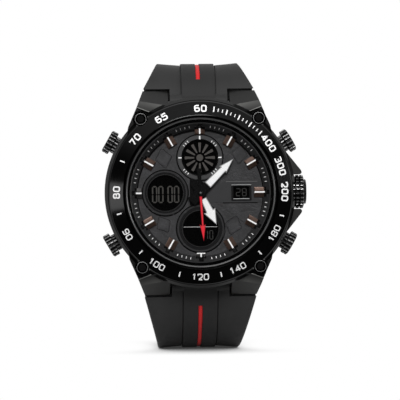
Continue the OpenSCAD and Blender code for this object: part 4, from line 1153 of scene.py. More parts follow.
@dataclass
class Dial:
    """Dial plate with its relief, the chapter ring's ticks, the hour markers and the date's frame."""

    top: float = 9.2
    bury: float = 0.02
    panel_h: float = 0.14
    panel_bevel: float = 0.08
    groove_h: float = 0.012
    groove_w: float = 0.08
    rib_h: float = 0.1
    rib_w: float = 0.12
    band_h: float = 0.09
    field_h: float = 0.05
    panels: tuple[tuple[float, float, float, float], ...] = (
        (-9.0, 8.6, 12, 1.9), (9.9, 9.3, -8, 1.8), (-9.2, -7.8, 30, 1.7), (8.2, -8.2, -18, 1.9),
    )
    ribs: tuple[Outline, ...] = (
        ((4.9, -3.0), (12.4, -8.6)), ((5.2, 7.6), (9.2, 11.4)), ((-12.6, -6.0), (-7.3, -12.2)),
        ((-12.4, 6.2), (-6.4, 12.2)), ((-6.6, -12.9), (-3.6, -14.4)), ((6.6, -12.9), (3.6, -14.4)),
        ((7.0, -5.4), (5.6, -11.0)), ((-6.3, -5.5), (-13.6, -3.6)), ((6.2, 12.4), (12.6, 5.9)),
    )
    field: Outline = ((-2.6, -3.2), (-0.1, -3.2), (1.2, -1.4), (1.2, 2.0), (-0.1, 3.6), (-2.6, 3.6))
    band: tuple[tuple[float, float, float, float], ...] = (
        (1.6, -2.5, 8.0, 2.62), (12.4, -2.5, 14.6, 2.62), (8.0, -2.5, 12.4, -1.8), (8.0, 1.8, 12.4, 2.62),
    )
    slope_foot: Flat = (15.75, 9.8)
    slope: Flat = (1.4, 1.8)
    minute_steps: tuple[float, ...] = (-5.85, -1.95, 1.95, 5.85)
    marker_end: float = 16.3
    marker_start: float = 13.3
    short_starts: tuple[tuple[int, float], ...] = ((0, 14.45), (9, 14.45), (6, 14.95))
    marker_w: float = 1.25
    marker_h: float = 0.8
    marker_side_h: float = 0.32
    marker_bar: Point = (0.38, 0.12, 0.84)

    def diamonds(self, across: float, along: float, radius: float) -> list[list[Flat]]:
        """Rounded outlines round the four panels.

        Args:
            across: Half their width, as a multiple of a panel's size.
            along: Half their height, likewise.
            radius: Radius of their corners.

        Returns:
            The outlines.
        """
        outlines = []
        for x, y, turn, size in self.panels:
            wide, tall = across * size, along * size
            spin = Matrix.Rotation(math.radians(turn), 2)
            corners = [spin @ Vector(spot) + Vector((x, y)) for spot in ((0, -tall), (wide, 0), (0, tall), (-wide, 0))]
            outlines.append(rounded([tuple(corner) for corner in corners], radius, True))
        return outlines

    def relief(self) -> None:
        """Makes what is raised or painted on the dial plate, with painted shade round the panels, a painted highlight
        and a painted shadow along the band, and a painted shadow of the bezel.
        """
        panels, grooves, ribs, band = Shape(), Shape(), Shape(), Shape()
        low, top = self.top - self.bury, self.top
        for outline in self.diamonds(1, 1.25, 0.4):
            panels.plate(outline, low, top + self.panel_h, self.panel_bevel)
        # black lines round the panels: painted shade where grooves would lie
        for outline in self.diamonds(1.15, 1.4, 0.5):
            grooves.ribbon(outline, self.groove_w, low, top + self.groove_h, True)
        for ends in self.ribs:
            ribs.ribbon(ends, self.rib_w, low, top + self.rib_h)
        for corners in self.band:
            band.plate(rectangle(*corners), low, top + self.band_h)
        on_case("dial_panels", panels, "dial_grey", PANEL)
        on_case("dial_ribs", ribs, "dial_grey", BAND)
        on_case("dial_groove_painted_shades", grooves, "dial_grey", BLACK)
        field = Shape().plate(rounded(self.field, 0.3, True), low, top + self.field_h)
        on_case("dial_middle", field, "dial_grey", BLACK)
        on_case("dial_band", band, "dial_grey", BAND)
        # painted highlight along the band's upper edge and painted shadow along its lower edge
        light = Shape().ribbon([(6.4, 2.68), (14.2, 2.68)], 0.12, top, top + 0.12)
        dark = Shape().ribbon([(5.6, -2.6), (14.2, -2.6)], 0.16, top, top + 0.1)
        on_case("band_painted_highlight_line", light, "dial_grey", BAND_HIGHLIGHT)
        on_case("band_painted_shadow_line", dark, "dial_grey", BLACK)
        # painted shadow of the bezel on the dial, widest at 12
        on_case("dial_painted_shadow", self.hollow(), "dial_grey", BLACK)

    def hollow(self) -> Shape:
        """Painted shadow of the bezel: a black crescent between the dial and the chapter ring, widest at 12.

        Returns:
            Its shape.
        """
        rows = []
        low, high = self.top + 0.003, self.top + 0.033
        for c, s in circle(1, 120):
            section = rectangle(15.5 - 0.3 * s, low, 15.74, high)
            rows.append([(r * c, r * s, z) for r, z in section])
        return Shape().rings(rows, closed=True)

    def slope_z(self, radius: float) -> float:
        """Height of the chapter ring's slope at a radius."""
        return self.slope_foot[1] + self.slope[1] * (radius - self.slope_foot[0]) / self.slope[0]

    def on_slope(self, degrees: float, ends: Flat, width: float, proud: float) -> Shape:
        """Thin bar on the chapter ring's slope.

        Args:
            degrees: Its clock angle.
            ends: Its inner and outer radius.
            width: Its width.
            proud: How far it stands out.

        Returns:
            Its shape.
        """
        out, side = clock(degrees)

        def lay(point: Vector) -> Vector:
            """Place of one flat point on the slope."""
            return out * point.y + side * point.x + Vector((0, 0, self.slope_z(point.y) + point.z))

        inner, outer = ends
        return Shape().box((0, (inner + outer) / 2, proud / 2), (width, outer - inner, proud)).bend(lay)

    def minutes(self) -> None:
        """Makes the chapter ring's ticks, four between two hours, and black plates on the ring behind the markers,
        which are painted shade.
        """
        ticks, notches = Shape(), Shape()
        for hour in range(12):
            # black plate behind each marker: painted shade
            notches.join(self.on_slope(hour * 30, (15.78, 17.1), 3.3, 0.015))
            for step in self.minute_steps:
                ticks.join(self.on_slope(hour * 30 + 15 + step, (16.2, 16.7), 0.16, 0.03))
        on_case("minute_ticks", ticks, "chapter_grey", PRINT)
        on_case("marker_painted_shades", notches, "chapter_grey", BLACK)

    def marker(self, start: float) -> Shape:
        """Body of an hour marker, with a ridge on each side of its bar.

        Args:
            start: Radius of its inner end.

        Returns:
            The marker at 3 o'clock.
        """
        rows = []
        width, high, length = self.marker_w, self.marker_h, self.marker_end - start
        for along, peak in ((0.0, 0.25), (0.22, high), (length - 0.15, high), (length, 0.45)):
            side = min(self.marker_side_h, peak)
            half = [(width, 0.005), (width, side), (1.02, side + 0.1), (0.3, peak), (0.27, peak - 0.08)]
            rows.append([(start + along, y, self.top + z) for y, z in mirrored(half)])
        return Shape().rings(rows)

    def markers(self) -> None:
        """Makes the twelve hour markers: ten brown bodies, two dark ones at 6 and 9, and the white bars."""
        bodies, darks, bars = Shape(), Shape(), Shape()
        bar_w, bar_t, bar_z = self.marker_bar
        for hour in range(12):
            start = dict(self.short_starts).get(hour, self.marker_start)
            turn, length = turned(90 - 30 * hour), self.marker_end - start
            (darks if hour in (6, 9) else bodies).join(self.marker(start), turn)
            middle = (start + length / 2 - 0.05, 0, self.top + bar_z)
            bars.join(Shape().box(middle, (length - 0.35, bar_w, bar_t), 0.03), turn)
            if hour == 6:
                bars.join(Shape().box((start + 0.12, 0, self.top + 0.62), (0.28, 2.1, 0.1), 0.03), turn)
        on_case("marker_blocks", bodies, "marker_copper", COPPER, "hour_markers", edge=0.03)
        on_case("marker_blocks_dark", darks, "marker_copper", DARK_MARKER, edge=0.03)
        on_case("marker_bars", bars, "marker_copper", PRINT)

    def date(self) -> None:
        """Makes the date window's frame and its two bright bars."""
        outer = rounded(rectangle(7.7, -2.0, 12.7, 2.0), 0.12, True, 2)
        inner = rounded(rectangle(8.25, -1.45, 12.15, 1.45), 0.12, True, 2)
        levels = [(outer, 9.205), (outer, 9.5), (offset(outer, 0.08), 9.55), (offset(inner, -0.1), 9.55)]
        surround = Shape().layers([*levels, (inner, 9.4), (inner, 9.205)], closed=True)
        bars = Shape()
        for y, length, width in ((1.84, 4.9, 0.15), (-1.62, 4.0, 0.17)):
            bars.box((10.2, y, 9.57), (length, width, 0.06), 0.02)
        on_case("date_surround", surround, "subdial_grey", DARK_RING, "date_frame")
        on_case("date_bars", bars, "subdial_grey", PALE)

    def build(self) -> None:
        """Makes the relief, ticks, markers and frame, and dresses the CAD nodes."""
        # stamped dial with painted shade in its creases and a painted shadow of the bezel towards 12
        dress(DIAL, "dial_plate")
        dress(CHAPTER, "chapter_ring", edge=0.04)
        self.relief()
        self.minutes()
        self.markers()
        self.date()


@dataclass
class SmallDials:
    """Rings of the three small dials and what the display shows in their windows."""

    glass: float = 8.7
    base: float = 9.205
    low: float = 0.003
    high: float = 0.03
    digit_t: float = 0.03
    upper_y: float = 8.7
    flat_ring: Outline = ((4.62, 0), (4.62, 0.3), (4.68, 0.34), (5.5, 0.34), (5.6, 0.2), (5.6, 0))
    upper_wall: Outline = ((4.38, -0.3), (4.38, 0.2), (4.6, 0.3), (4.6, -0.3))
    wall: Outline = ((4.38, -0.3), (4.38, 0.1), (4.44, 0.16), (4.44, -0.3))
    bead: Outline = ((4.46, 0), (4.46, 0.22), (4.5, 0.26), (4.58, 0.26), (4.62, 0.2), (4.62, 0))
    blade: Outline = ((1.35, -0.17), (3.75, -0.38), (3.75, 0.38), (1.35, 0.17))
    hub_r: float = 0.84
    mark_r: float = 4.95
    marks: tuple[Point, ...] = ((0, 0.36, 0.85), (90, 0.3, 0.8), (270, 0.3, 0.8), (180, 0.3, 0.5))
    gap_half: float = 3

    def ring(self, place: Point, profile: Sequence[Flat], arcs: Sequence[Flat] = ()) -> Shape:
        """One turned ring.

        Args:
            place: Its middle.
            profile: Closed outline of (radius, height) points.
            arcs: The angles it covers where it isn't whole.

        Returns:
            Its shape.
        """
        shape = Shape()
        for arc in arcs or (None,):
            steps = 96 if arc is None else max(8, int((arc[1] - arc[0]) / 4))
            shape.join(Shape().lathe(profile, steps, arc), Matrix.Translation(place))
        return shape

    def upper(self) -> None:
        """Makes the flat ring with its marks and the fan of blades at 12."""
        place, middle = (0, self.upper_y, self.base), (0, self.upper_y, self.glass)
        on_case("small_dial_ring_12", self.ring(place, self.flat_ring), "subdial_grey", RING, "subdial_ring_12")
        lines = self.ring(place, rectangle(5.62, 0, 5.9, 0.03)).join(self.ring(place, self.upper_wall))
        on_case("small_dial_outline_12", lines, "subdial_grey", BLACK)
        marks = Shape()
        for angle, width, length in self.marks:
            marks.join(Shape().box((0, self.mark_r, 0.35), (width, length, 0.05), 0.015), turned(-angle, place))
        dot = Shape().box((0, self.mark_r, 0.35), (0.18, 0.5, 0.04), 0.01)
        marks.join(dot, *(turned(-angle - shift, place) for angle in (45, 135, 225, 315) for shift in (-8, 0, 8)))
        on_case("small_dial_marks_12", marks, "subdial_grey", PRINT)
        blade = Shape().plate(rounded(self.blade, 0.16, True, 3), self.low, self.high)
        fan = Shape().join(blade, *(turned(30 * i, middle) for i in range(12)))
        fan.join(Shape().plate(circle(self.hub_r, 32), self.low, self.high), Matrix.Translation(middle))
        on_case("display_fan", fan, "lcd_dark", BLADE)

    def stepped(self, name: str, place: Point, outer: float, gaps: Sequence[float], node: str) -> None:
        """Makes a stepped ring whose outer step is broken by notches.

        Args:
            name: Start of its pieces' names.
            place: Its middle.
            outer: Its outer radius.
            gaps: Angles of the notches.
            node: The CAD node it stands for.
        """
        on_case(f"{name}_bead", self.ring(place, self.bead), "subdial_grey", BEAD, node)
        line = self.ring(place, rectangle(outer - 0.02, 0, outer + 0.28, 0.03))
        on_case(f"{name}_outline", line.join(self.ring(place, self.wall)), "subdial_grey", BLACK)
        channel = self.ring(place, rectangle(4.64, 0, outer - 0.5, 0.14))
        on_case(f"{name}_channel", channel, "subdial_grey", DARK_RING)
        nexts = [*gaps[1:], gaps[0] + 360]
        arcs = [(gap + self.gap_half, after - self.gap_half) for gap, after in zip(gaps, nexts)]
        steps = ((-0.5, 0), (-0.5, 0.24), (-0.42, 0.3), (-0.16, 0.3), (-0.04, 0.16), (-0.04, 0))
        step = self.ring(place, [(outer + inset, z) for inset, z in steps], arcs)
        on_case(f"{name}_steps", step, "subdial_grey", STEP_RING)

    def digits(self, text: str, spots: Sequence[Flat], size: Flat, stroke: float) -> Shape:
        """Display figures.

        Args:
            text: The digits.
            spots: Their middles.
            size: Their width and height.
            stroke: Width of a bar.

        Returns:
            Their shape.
        """
        shape, flatten = Shape(), Matrix.Diagonal((1, 1, self.digit_t, 1))
        for digit, (x, y) in zip(text, spots):
            move = Matrix.Translation((x, y, self.glass + self.low)) @ flatten
            shape.join(segment_digit(digit, *size, stroke), move)
        return shape

    def figures(self) -> None:
        """Makes the display's figures in the three windows."""
        hours = self.digits("0000", [(-8.7 + x, -0.35) for x in (-2.62, -1.08, 1.22, 2.82)], (1.0, 3.9), 0.36)
        on_case("display_time", hours, "lcd_dark", SEGMENT)
        small = self.digits("10", [(1.35, -10.5), (2.65, -10.5)], (0.75, 2.1), 0.2)
        small.join(self.digits("28", [(9.45, 0.0), (10.95, 0.0)], (0.95, 1.8), 0.2))
        on_case("display_small_figures", small, "lcd_dark", FAINT)
        line = Shape().box((0, -8.5, self.glass + 0.02), (8.4, 0.07, 0.03))
        on_case("display_divider", line, "lcd_dark", WHITE)

    def build(self) -> None:
        """Makes the three rings and the display's figures."""
        dress(DISPLAY, "lcd_panel")
        self.upper()
        self.stepped("small_dial_9", (-8.7, 0, self.base), 5.6, (55, 125, 235, 305), "subdial_ring_9")
        self.stepped("small_dial_6", (0, -8.9, self.base), 5.9, (48, 132, 222, 318), "subdial_ring_6")
        self.figures()


@dataclass
class Hand:
    """One hand: a painted blade with an arrowhead, and a black hub with a tail, pointing along +X before it turns."""

    body: str
    low: float
    degrees: float
    start: float
    reach: float
    barb_r: float
    barb_w: float
    shaft: Flat
    tail: float
    tail_w: Flat
    hub_r: float
    paint: Finish = WHITE
    slot: str = "hand_white"
    blade_h: float = 0.27

    def blade(self) -> Shape:
        """Shaft and arrowhead in one, with bevelled edges.

        Returns:
            Their shape.
        """
        inner, outer, half = self.shaft[0] / 2, self.shaft[1] / 2, self.barb_w / 2
        notch = self.barb_r + 0.35 * (1 - outer / half)
        right = [(self.start, -inner), (notch, -outer), (self.barb_r, -half)]
        outline = [*right, (self.reach, 0), *((x, -y) for x, y in reversed(right))]
        return Shape().plate(outline, 0, self.blade_h, min(0.2, self.shaft[1] * 0.3))

    def hub(self) -> Shape:
        """Black hub, inner shaft and tail.

        Returns:
            Their shape.
        """
        inner, outer = self.tail_w
        right = [(-self.tail, -outer / 2), (0, -inner / 2), (self.start, -self.shaft[0] / 2)]
        outline = rounded([*right, *((x, -y) for x, y in reversed(right))], 0.1, True, 2)
        disc = [(self.hub_r, 0.005), (self.hub_r, 0.18), (self.hub_r - 0.08, 0.23), (0.24, 0.23), (0.24, 0.005)]
        return Shape().plate(outline, 0, 0.17, 0.05).lathe(disc, 48)

    def build(self) -> None:
        """Makes the hand and hands it to its body."""
        turn, node = turned(90 - self.degrees, (0, 0, self.low)), f"{self.body}_hand"
        blade = Shape().join(self.blade(), turn).mesh(f"{node}_blade")
        # blade with painted shade on its bevelled edges
        settle(blade, Seat(self.body, self.slot, (node,)), self.paint, 0.015, 20)
        settle(Shape().join(self.hub(), turn).mesh(f"{node}_hub"), Seat(self.body, self.slot), BLACK)


@dataclass
class Fluted:
    """A fluted knob turned about +Z from rings of (height, radius, flute depth)."""

    flutes: int
    rings: Sequence[Point]
    hollow: bool = False
    wave: tuple[float, ...] = (1, 0.95, 0.5, 0.06, 0, 0.06, 0.5, 0.95)

    def shape(self) -> Shape:
        """Skin of the knob.

        Returns:
            Its shape.
        """
        rows = []
        for height, radius, depth in self.rings:
            around = enumerate(circle(1, self.flutes * len(self.wave)))
            cuts = [(radius - depth * self.wave[i % len(self.wave)], c, s) for i, (c, s) in around]
            rows.append([(cut * c, cut * s, height) for cut, c, s in cuts])
        return Shape().rings(rows, self.hollow)


@dataclass
class Controls:
    """Crown and the four pushers."""

    axis_z: float = 5.0
    pushers: tuple[tuple[str, float], ...] = (("2", 30), ("4", -30), ("8", 210), ("10", 150))
    crown_foot: tuple[Point, ...] = ((22.75, 2.6, 0.0), (22.75, 3.6, 0.0), (22.8, 3.9, 0.1))
    crown_bands: Point = (22.85, 23.88, 24.91)
    crown_band: tuple[Point, ...] = ((0.0, 3.96, 0.36), (0.12, 4.18, 0.56), (0.72, 4.18, 0.56), (0.86, 3.96, 0.36))
    crown_groove: tuple[Point, ...] = ((0.9, 3.66, 0.06), (1.0, 3.66, 0.06))
    crown_cap: tuple[Point, ...] = (
        (25.9, 3.6, 0.1), (25.95, 3.1, 0.0), (26.3, 3.1, 0.05), (26.47, 2.96, 0.0), (26.54, 2.7, 0.0),
        (26.54, 1.0, 0.0), (26.48, 0.6, 0.0),
    )
    cap: tuple[Point, ...] = (
        (16.6, 0.62, 0.0), (16.7, 0.8, 0.0), (16.98, 0.8, 0.0), (16.98, 0.56, 0.0), (17.27, 0.56, 0.0),
        (17.27, 0.8, 0.0), (24.3, 0.8, 0.0), (24.3, 1.76, 0.0), (24.7, 1.9, 0.0), (24.7, 2.5, 0.2),
        (24.78, 2.84, 0.5), (24.88, 2.94, 0.6), (25.56, 2.94, 0.6), (25.6, 2.8, 0.4), (25.68, 2.8, 0.4),
        (25.72, 2.94, 0.6), (26.22, 2.94, 0.6), (26.38, 2.75, 0.4), (26.5, 2.45, 0.1), (26.5, 2.2, 0.0),
        (26.5, 1.5, 0.0), (26.44, 1.35, 0.0),
    )
    collar: tuple[Point, ...] = (
        (24.65, 1.6, 0.0), (21.9, 1.6, 0.0), (21.9, 1.9, 0.1), (22.0, 2.13, 0.42), (24.58, 2.13, 0.42),
        (24.65, 2.04, 0.3),
    )
    coil_turns: int = 5
    coil_steps: int = 16
    coil_r: float = 1.275
    coil_wire: float = 0.14
    coil_ends: Flat = (21.06, 24.14)

    def lay(self, degrees: float) -> Matrix:
        """Turns a knob's +Z to point out of the case at an angle from 3 o'clock."""
        lift = Matrix.Translation((0, 0, self.axis_z)) @ Matrix.Rotation(math.radians(90), 4, "Y")
        return turned(degrees) @ lift

    def crown(self) -> Shape:
        """Crown: three fluted bands and a plain end cap.

        Returns:
            Its shape.
        """
        rings = list(self.crown_foot)
        for start in self.crown_bands:
            groove = self.crown_groove if start < self.crown_bands[-1] else ()
            rings += [(start + along, radius, depth) for along, radius, depth in (*self.crown_band, *groove)]
        return Fluted(24, [*rings, *self.crown_cap]).shape()

    def spring(self, name: str, angle: float) -> None:
        """Makes the return spring of one pusher.

        Args:
            name: Hour the pusher stands at.
            angle: Its angle from 3 o'clock in degrees.
        """
        near, far = self.coil_ends
        count, rows = self.coil_turns * self.coil_steps, []
        for i in range(count + 1):
            turn, along = math.tau * i / self.coil_steps, near + (far - near) * i / count
            section = [(self.coil_r + out, along + up) for out, up in circle(self.coil_wire, 8)]
            rows.append([(reach * math.cos(turn), reach * math.sin(turn), z) for reach, z in section])
        lay = self.lay(angle)
        piece = Shape().join(Shape().rings(rows), lay).mesh(f"pusher_coil_{name}")
        piece.data.materials.append(STEEL.material())
        smooth(piece, 40)
        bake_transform(piece)
        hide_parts(f"pusher_spring_{name}")
        log.info("%s: %s from case to pusher_%s", piece.name, STEEL.name, name)

    def build(self) -> None:
        """Makes the knobs and their springs, and dresses their tubes and clips."""
        crown = Shape().join(self.crown(), self.lay(0))
        settle(crown.mesh("crown_knob"), Seat("crown", "crown_black", ("crown",)), CROWN, crease=38)
        pusher = Fluted(18, self.cap).shape().join(Fluted(14, self.collar, True).shape())
        for name, angle in self.pushers:
            knob = Shape().join(pusher, self.lay(angle)).mesh(f"pusher_knob_{name}")
            settle(knob, Seat(f"pusher_{name}", "crown_black", (f"pusher_head_{name}",)), PUSHER, crease=38)
            self.spring(name, angle)
            dress(STEEL, f"pusher_clip_{name}")
        dress(TUBE, "pusher_tubes")
        dress(SEAL, "pusher_gaskets", "crown_gasket")
        dress(STEEL, "crown_tube", "winding_stem", "setting_yoke")


@dataclass
class Movement:
    """Everything inside the case that has no new shape."""

    def build(self) -> None:
        """Dresses the inner CAD nodes."""
        dress(HOLDER, "movement_holder")
        dress(BRASS, "main_plate", "buzzer", "hour_wheel", "cannon_pinion", "minute_wheel", "third_wheel")
        dress(BOARD, "circuit_board")
        dress(STEEL, "battery", "battery_clip", "seconds_arbor")
        dress(WIRE, "stepper_coil")


@dataclass
class Case:
    """Case middle, back and what holds them."""

    def build(self) -> None:
        """Dresses the case's CAD nodes."""
        # case with painted highlights and painted shade on its lugs
        dress(CASE, "case_middle", edge=0.12)
        dress(BACK, "case_back", edge=0.08)
        dress(STEEL, "back_screws", edge=0.04)
        dress(SEAL, "back_gasket")
        # black bars, which also keep the gaps at the lugs dark: painted shade in part
        dress(BAR, "spring_bars")


class Half(Enum):
    """Which strap half, as the sign of its Y."""

    TWELVE = 1
    SIX = -1


@dataclass(frozen=True)
class Run:
    """Middle line of a strap half in the plane x = 0: stretches of (length, turn in degrees)."""

    stretches: tuple[Flat, ...]
    start: Point = (22.5, 3.6, 25.0)

    @property
    def length(self) -> float:
        """Length of the whole run."""
        return sum(length for length, _ in self.stretches)

    def at(self, s: float) -> Point:
        """Place along Y, height and heading below the horizon.

        Args:
            s: The arc length.

        Returns:
            The three.
        """
        y, z, heading = self.start
        for i, (length, turn) in enumerate(self.stretches):
            part = s if i == len(self.stretches) - 1 else min(s, length)
            angle, turned_by = math.radians(heading), math.radians(turn * part / length)
            if turn == 0:
                y, z = y + part * math.cos(angle), z - part * math.sin(angle)
            elif turned_by:
                r = length / math.radians(turn)
                y += r * (math.sin(angle + turned_by) - math.sin(angle))
                z += r * (math.cos(angle + turned_by) - math.cos(angle))
            heading += math.degrees(turned_by)
            s -= part
            if s <= 0:
                break
        return y, z, heading

    def place(self, s: float, x: float, off: float, along: float = 0.0, side: int = 1) -> Point:
        """Place beside the run.

        Args:
            s: The arc length.
            x: How far across.
            off: How far off the middle layer, outwards.
            along: How far along the heading there.
            side: Sign of its Y.

        Returns:
            The place.
        """
        y, z, heading = self.at(s)
        c, d = math.cos(math.radians(heading)), math.sin(math.radians(heading))
        return (x, side * (y + along * c + off * d), z - along * d + off * c)


@dataclass
class Strap:
    """One strap half with its stripe."""

    half: Half
    run: Run
    taper: float
    end_w: float
    stripe_to: float
    name: str
    body: str
    shoulder_w: float = 28.3
    shoulder_y: float = 25.5
    waist_w: float = 20.8
    heel: float = 3.4
    heel_t: float = 4.4
    thinner: float = 1.8
    tip_r: float = 4
    ridge: float = 4.2
    dish: float = 0.4
    ring_gap: float = 0.9
    tip_rings: tuple[float, ...] = (3.6, 3.2, 2.4, 1.6, 0.5, 0.2)
    stripe_from: float = 5.2
    groove: float = 0.42
    stripe: Outline = (
        (-0.49, -0.39), (-0.49, -0.26), (-0.4, -0.2), (0, -0.18), (0.4, -0.2), (0.49, -0.26), (0.49, -0.39),
    )
    tongue: float = 7.2
    heel_r: float = 2.3
    clear_r: float = 3.5
    bar_r: float = 0.95
    end_r: float = 2.2
    pin_r: float = 0.82
    holes: int = 7
    hole_pitch: float = 6.2
    hole_from_tip: float = 12
    hole_r: float = 1.2

    def width(self, s: float) -> float:
        """Width over all, with rounded corners at the free tip.

        Args:
            s: The arc length.

        Returns:
            The width.
        """
        if s < self.taper:
            share = (self.outer(s) - self.shoulder_y) / (self.outer(self.taper) - self.shoulder_y)
            wide = self.shoulder_w + (self.waist_w - self.shoulder_w) * min(1, max(0, share))
        else:
            share = (s - self.taper) / (self.run.length - self.taper)
            wide = self.waist_w + (self.end_w - self.waist_w) * share
        left = self.run.length - s
        if self.half is Half.SIX and left < self.tip_r:
            wide -= 2 * (self.tip_r - math.sqrt(max(0, self.tip_r**2 - (self.tip_r - left) ** 2)))
        return wide

    def outer(self, s: float) -> float:
        """Distance of the outer face from the 3 to 9 o'clock axis at an arc length."""
        y, _, heading = self.run.at(s)
        return y + self.thick(s) / 2 * math.sin(math.radians(heading))

    def thick(self, s: float) -> float:
        """Thickness at an arc length."""
        return self.heel_t - self.thinner * min(1, max(0, (s - self.heel) / (self.run.length - self.heel)))

    def point(self, s: float, x: float, off: float, along: float = 0.0) -> Point:
        """Place beside this half's run."""
        return self.run.place(s, x, off, along, self.half.value)

    def section(self, s: float, groove: float) -> list[Flat]:
        """Outline of the strap: a ridge between two dished wings.

        Args:
            s: The arc length.
            groove: Depth of the stripe's groove there.

        Returns:
            The outline.
        """
        h, top, r = self.width(s) / 2, self.thick(s) / 2, self.ridge
        dip = top - self.dish
        half = [
            (0.5, top - groove), (0.54, top), (r - 0.6, top), (r - 0.12, top - 0.01), (r - 0.02, top - 0.08),
            (r + 0.02, dip - 0.3), (r + 0.16, dip - 0.3), (r + 0.26, dip - 0.01), (r + 0.4, dip + 0.02),
            (h - 3, (top * 2 + dip) / 3 - 0.02), (h - 0.7, top + 0.07), (h - 0.5, top + 0.08), (h - 0.34, top + 0.05),
            (h - 0.04, top - 0.26), (h, top - 0.4), (h, 0.5 - top), (h - 0.12, 0.2 - top), (h - 0.5, 0.02 - top),
            (h - 0.9, -top), (h * 0.55, -top), (h * 0.2, -top),
        ]
        return mirrored(half)

    def stations(self) -> list[Flat]:
        """Where the rings stand.

        Returns:
            Their arc lengths, each with the groove's depth there.
        """
        total, first, last = self.run.length, self.stripe_from - 0.02, self.stripe_to + 0.02
        count = round(total / self.ring_gap)
        spots = [total * i / count for i in range(count + 1)]
        spots = [s for s in spots if min(abs(s - first), abs(s - last)) > 0.1]
        spots += [first - 0.02, first, last, last + 0.02]
        if self.half is Half.SIX:
            spots += [total - back for back in self.tip_rings]
        return [(s, self.groove if first <= s <= last else 0.0) for s in sorted(spots)]

    def rod(self, middle: Flat, radius: float, x0: float, x1: float) -> Shape:
        """Cylinder across the strap."""
        ring = [(self.half.value * (middle[0] + a), middle[1] + b) for a, b in circle(radius, 48)]
        return Shape().rings([[(x, *spot) for spot in ring] for x in (x0, x1)])

    def block(self, low: Point, high: Point) -> Shape:
        """Box between two corners, on this half's side."""
        side = self.half.value
        return Shape().plate(rectangle(low[0], side * low[1], high[0], side * high[1]), low[2], high[2])

    def band(self) -> bpy.types.Object:
        """The strap half with its tongue, shoulders, holes and ends.

        Returns:
            The piece.
        """
        rows = [[self.point(s, x, off) for x, off in self.section(s, groove)] for s, groove in self.stations()]
        piece = Shape().rings(rows).mesh(f"strap_band_{self.name}")
        y, z, _ = self.run.start
        carve(piece, self.rod((y, z), self.heel_r, -self.tongue, self.tongue), "UNION")
        for x0, x1 in ((self.tongue, 19.0), (-19.0, -self.tongue)):
            carve(piece, self.rod((y, z), self.clear_r, x0, x1))
            carve(piece, self.block((x0, y - 3, z), (x1, y + 3.45, z + 6)))
        carve(piece, self.block((-7.6, y - 2.6, 1.7), (7.6, y + 2.6, 3.0)), "UNION")
        carve(piece, self.rod((y, z), self.bar_r, -20, 20))
        if self.half is Half.TWELVE:
            y, z, _ = self.run.at(self.run.length)
            carve(piece, self.rod((y, z), self.end_r, -9.8, 9.8), "UNION")
            carve(piece, self.rod((y, z), self.pin_r, -15, 15))
            carve(piece, self.block((-1.5, y - 4, z - 4), (1.5, y + 4, z + 4)))
        else:
            for i in range(self.holes):
                carve(piece, self.hole(self.run.length - self.hole_from_tip - i * self.hole_pitch))
        return piece

    def hole(self, s: float) -> Shape:
        """Round tool through the strap at an arc length."""
        return Shape().rings([[self.point(s, x, off, a) for x, a in circle(self.hole_r, 32)] for off in (-3, 3)])

    def inlay(self) -> Shape:
        """Crowned stripe that lies in the groove.

        Returns:
            Its shape.
        """
        first, length = self.stripe_from, self.stripe_to - self.stripe_from
        spots = [first + length * i / round(length) for i in range(round(length) + 1)]
        return Shape().rings([[self.point(s, x, self.thick(s) / 2 + off) for x, off in self.stripe] for s in spots])

    def build(self) -> None:
        """Makes the strap half and its stripe."""
        # rubber with painted shade on its sideways faces and in the gaps at the lugs
        settle(self.band(), Seat(self.body, "strap_rubber", (f"strap_{self.name}",)), STRAP, crease=30)
        stripe = self.inlay().mesh(f"strap_stripe_{self.name}")
        settle(stripe, Seat(self.body, "stripe_red", (f"stripe_{self.name}",)), STRIPE)


@dataclass
class Keeper:
    """Free loop that holds the strap's tail."""

    run: Run
    s: float
    half_w: float = 10.25
    wall: float = 0.85
    length: float = 5.0
    low: float = -1.8
    high: float = 4.5
    waist: Outline = (
        (-0.5, 0.25), (-0.44, 0.06), (-0.3, 0.0), (-0.15, 0.08), (0.15, 0.08), (0.3, 0.0), (0.44, 0.06), (0.5, 0.25),
    )
    bore: Outline = ((0.5, -0.12), (0.42, 0.0), (-0.42, 0.0), (-0.5, -0.12))

    def build(self) -> None:
        """Makes the loop, with a faint waist round its outside."""
        w, k = self.half_w, self.wall
        inner = rounded(rectangle(-w, self.low, w, self.high), 0.5, True)
        outer = rounded(rectangle(-w - k, self.low - k, w + k, self.high + k), 1.3, True)
        rings = [(share, offset(outer, inset)) for share, inset in self.waist]
        rings += [(share, offset(inner, inset)) for share, inset in self.bore]
        rows = [[self.run.place(self.s, x, off, share * self.length) for x, off in line] for share, line in rings]
        loop = Shape().rings(rows, closed=True).mesh("keeper_loop")
        settle(loop, Seat("keeper", "strap_rubber", ("strap_keeper",)), STRAP, crease=40)


@dataclass
class Buckle:
    """Buckle frame, bar and tang."""

    def build(self) -> None:
        """Dresses the buckle's CAD nodes."""
        dress(BUCKLE, "buckle_frame", edge=0.3)
        dress(BUCKLE, "buckle_tang", edge=0.2)
        dress(STEEL, "buckle_bar", edge=0.1)


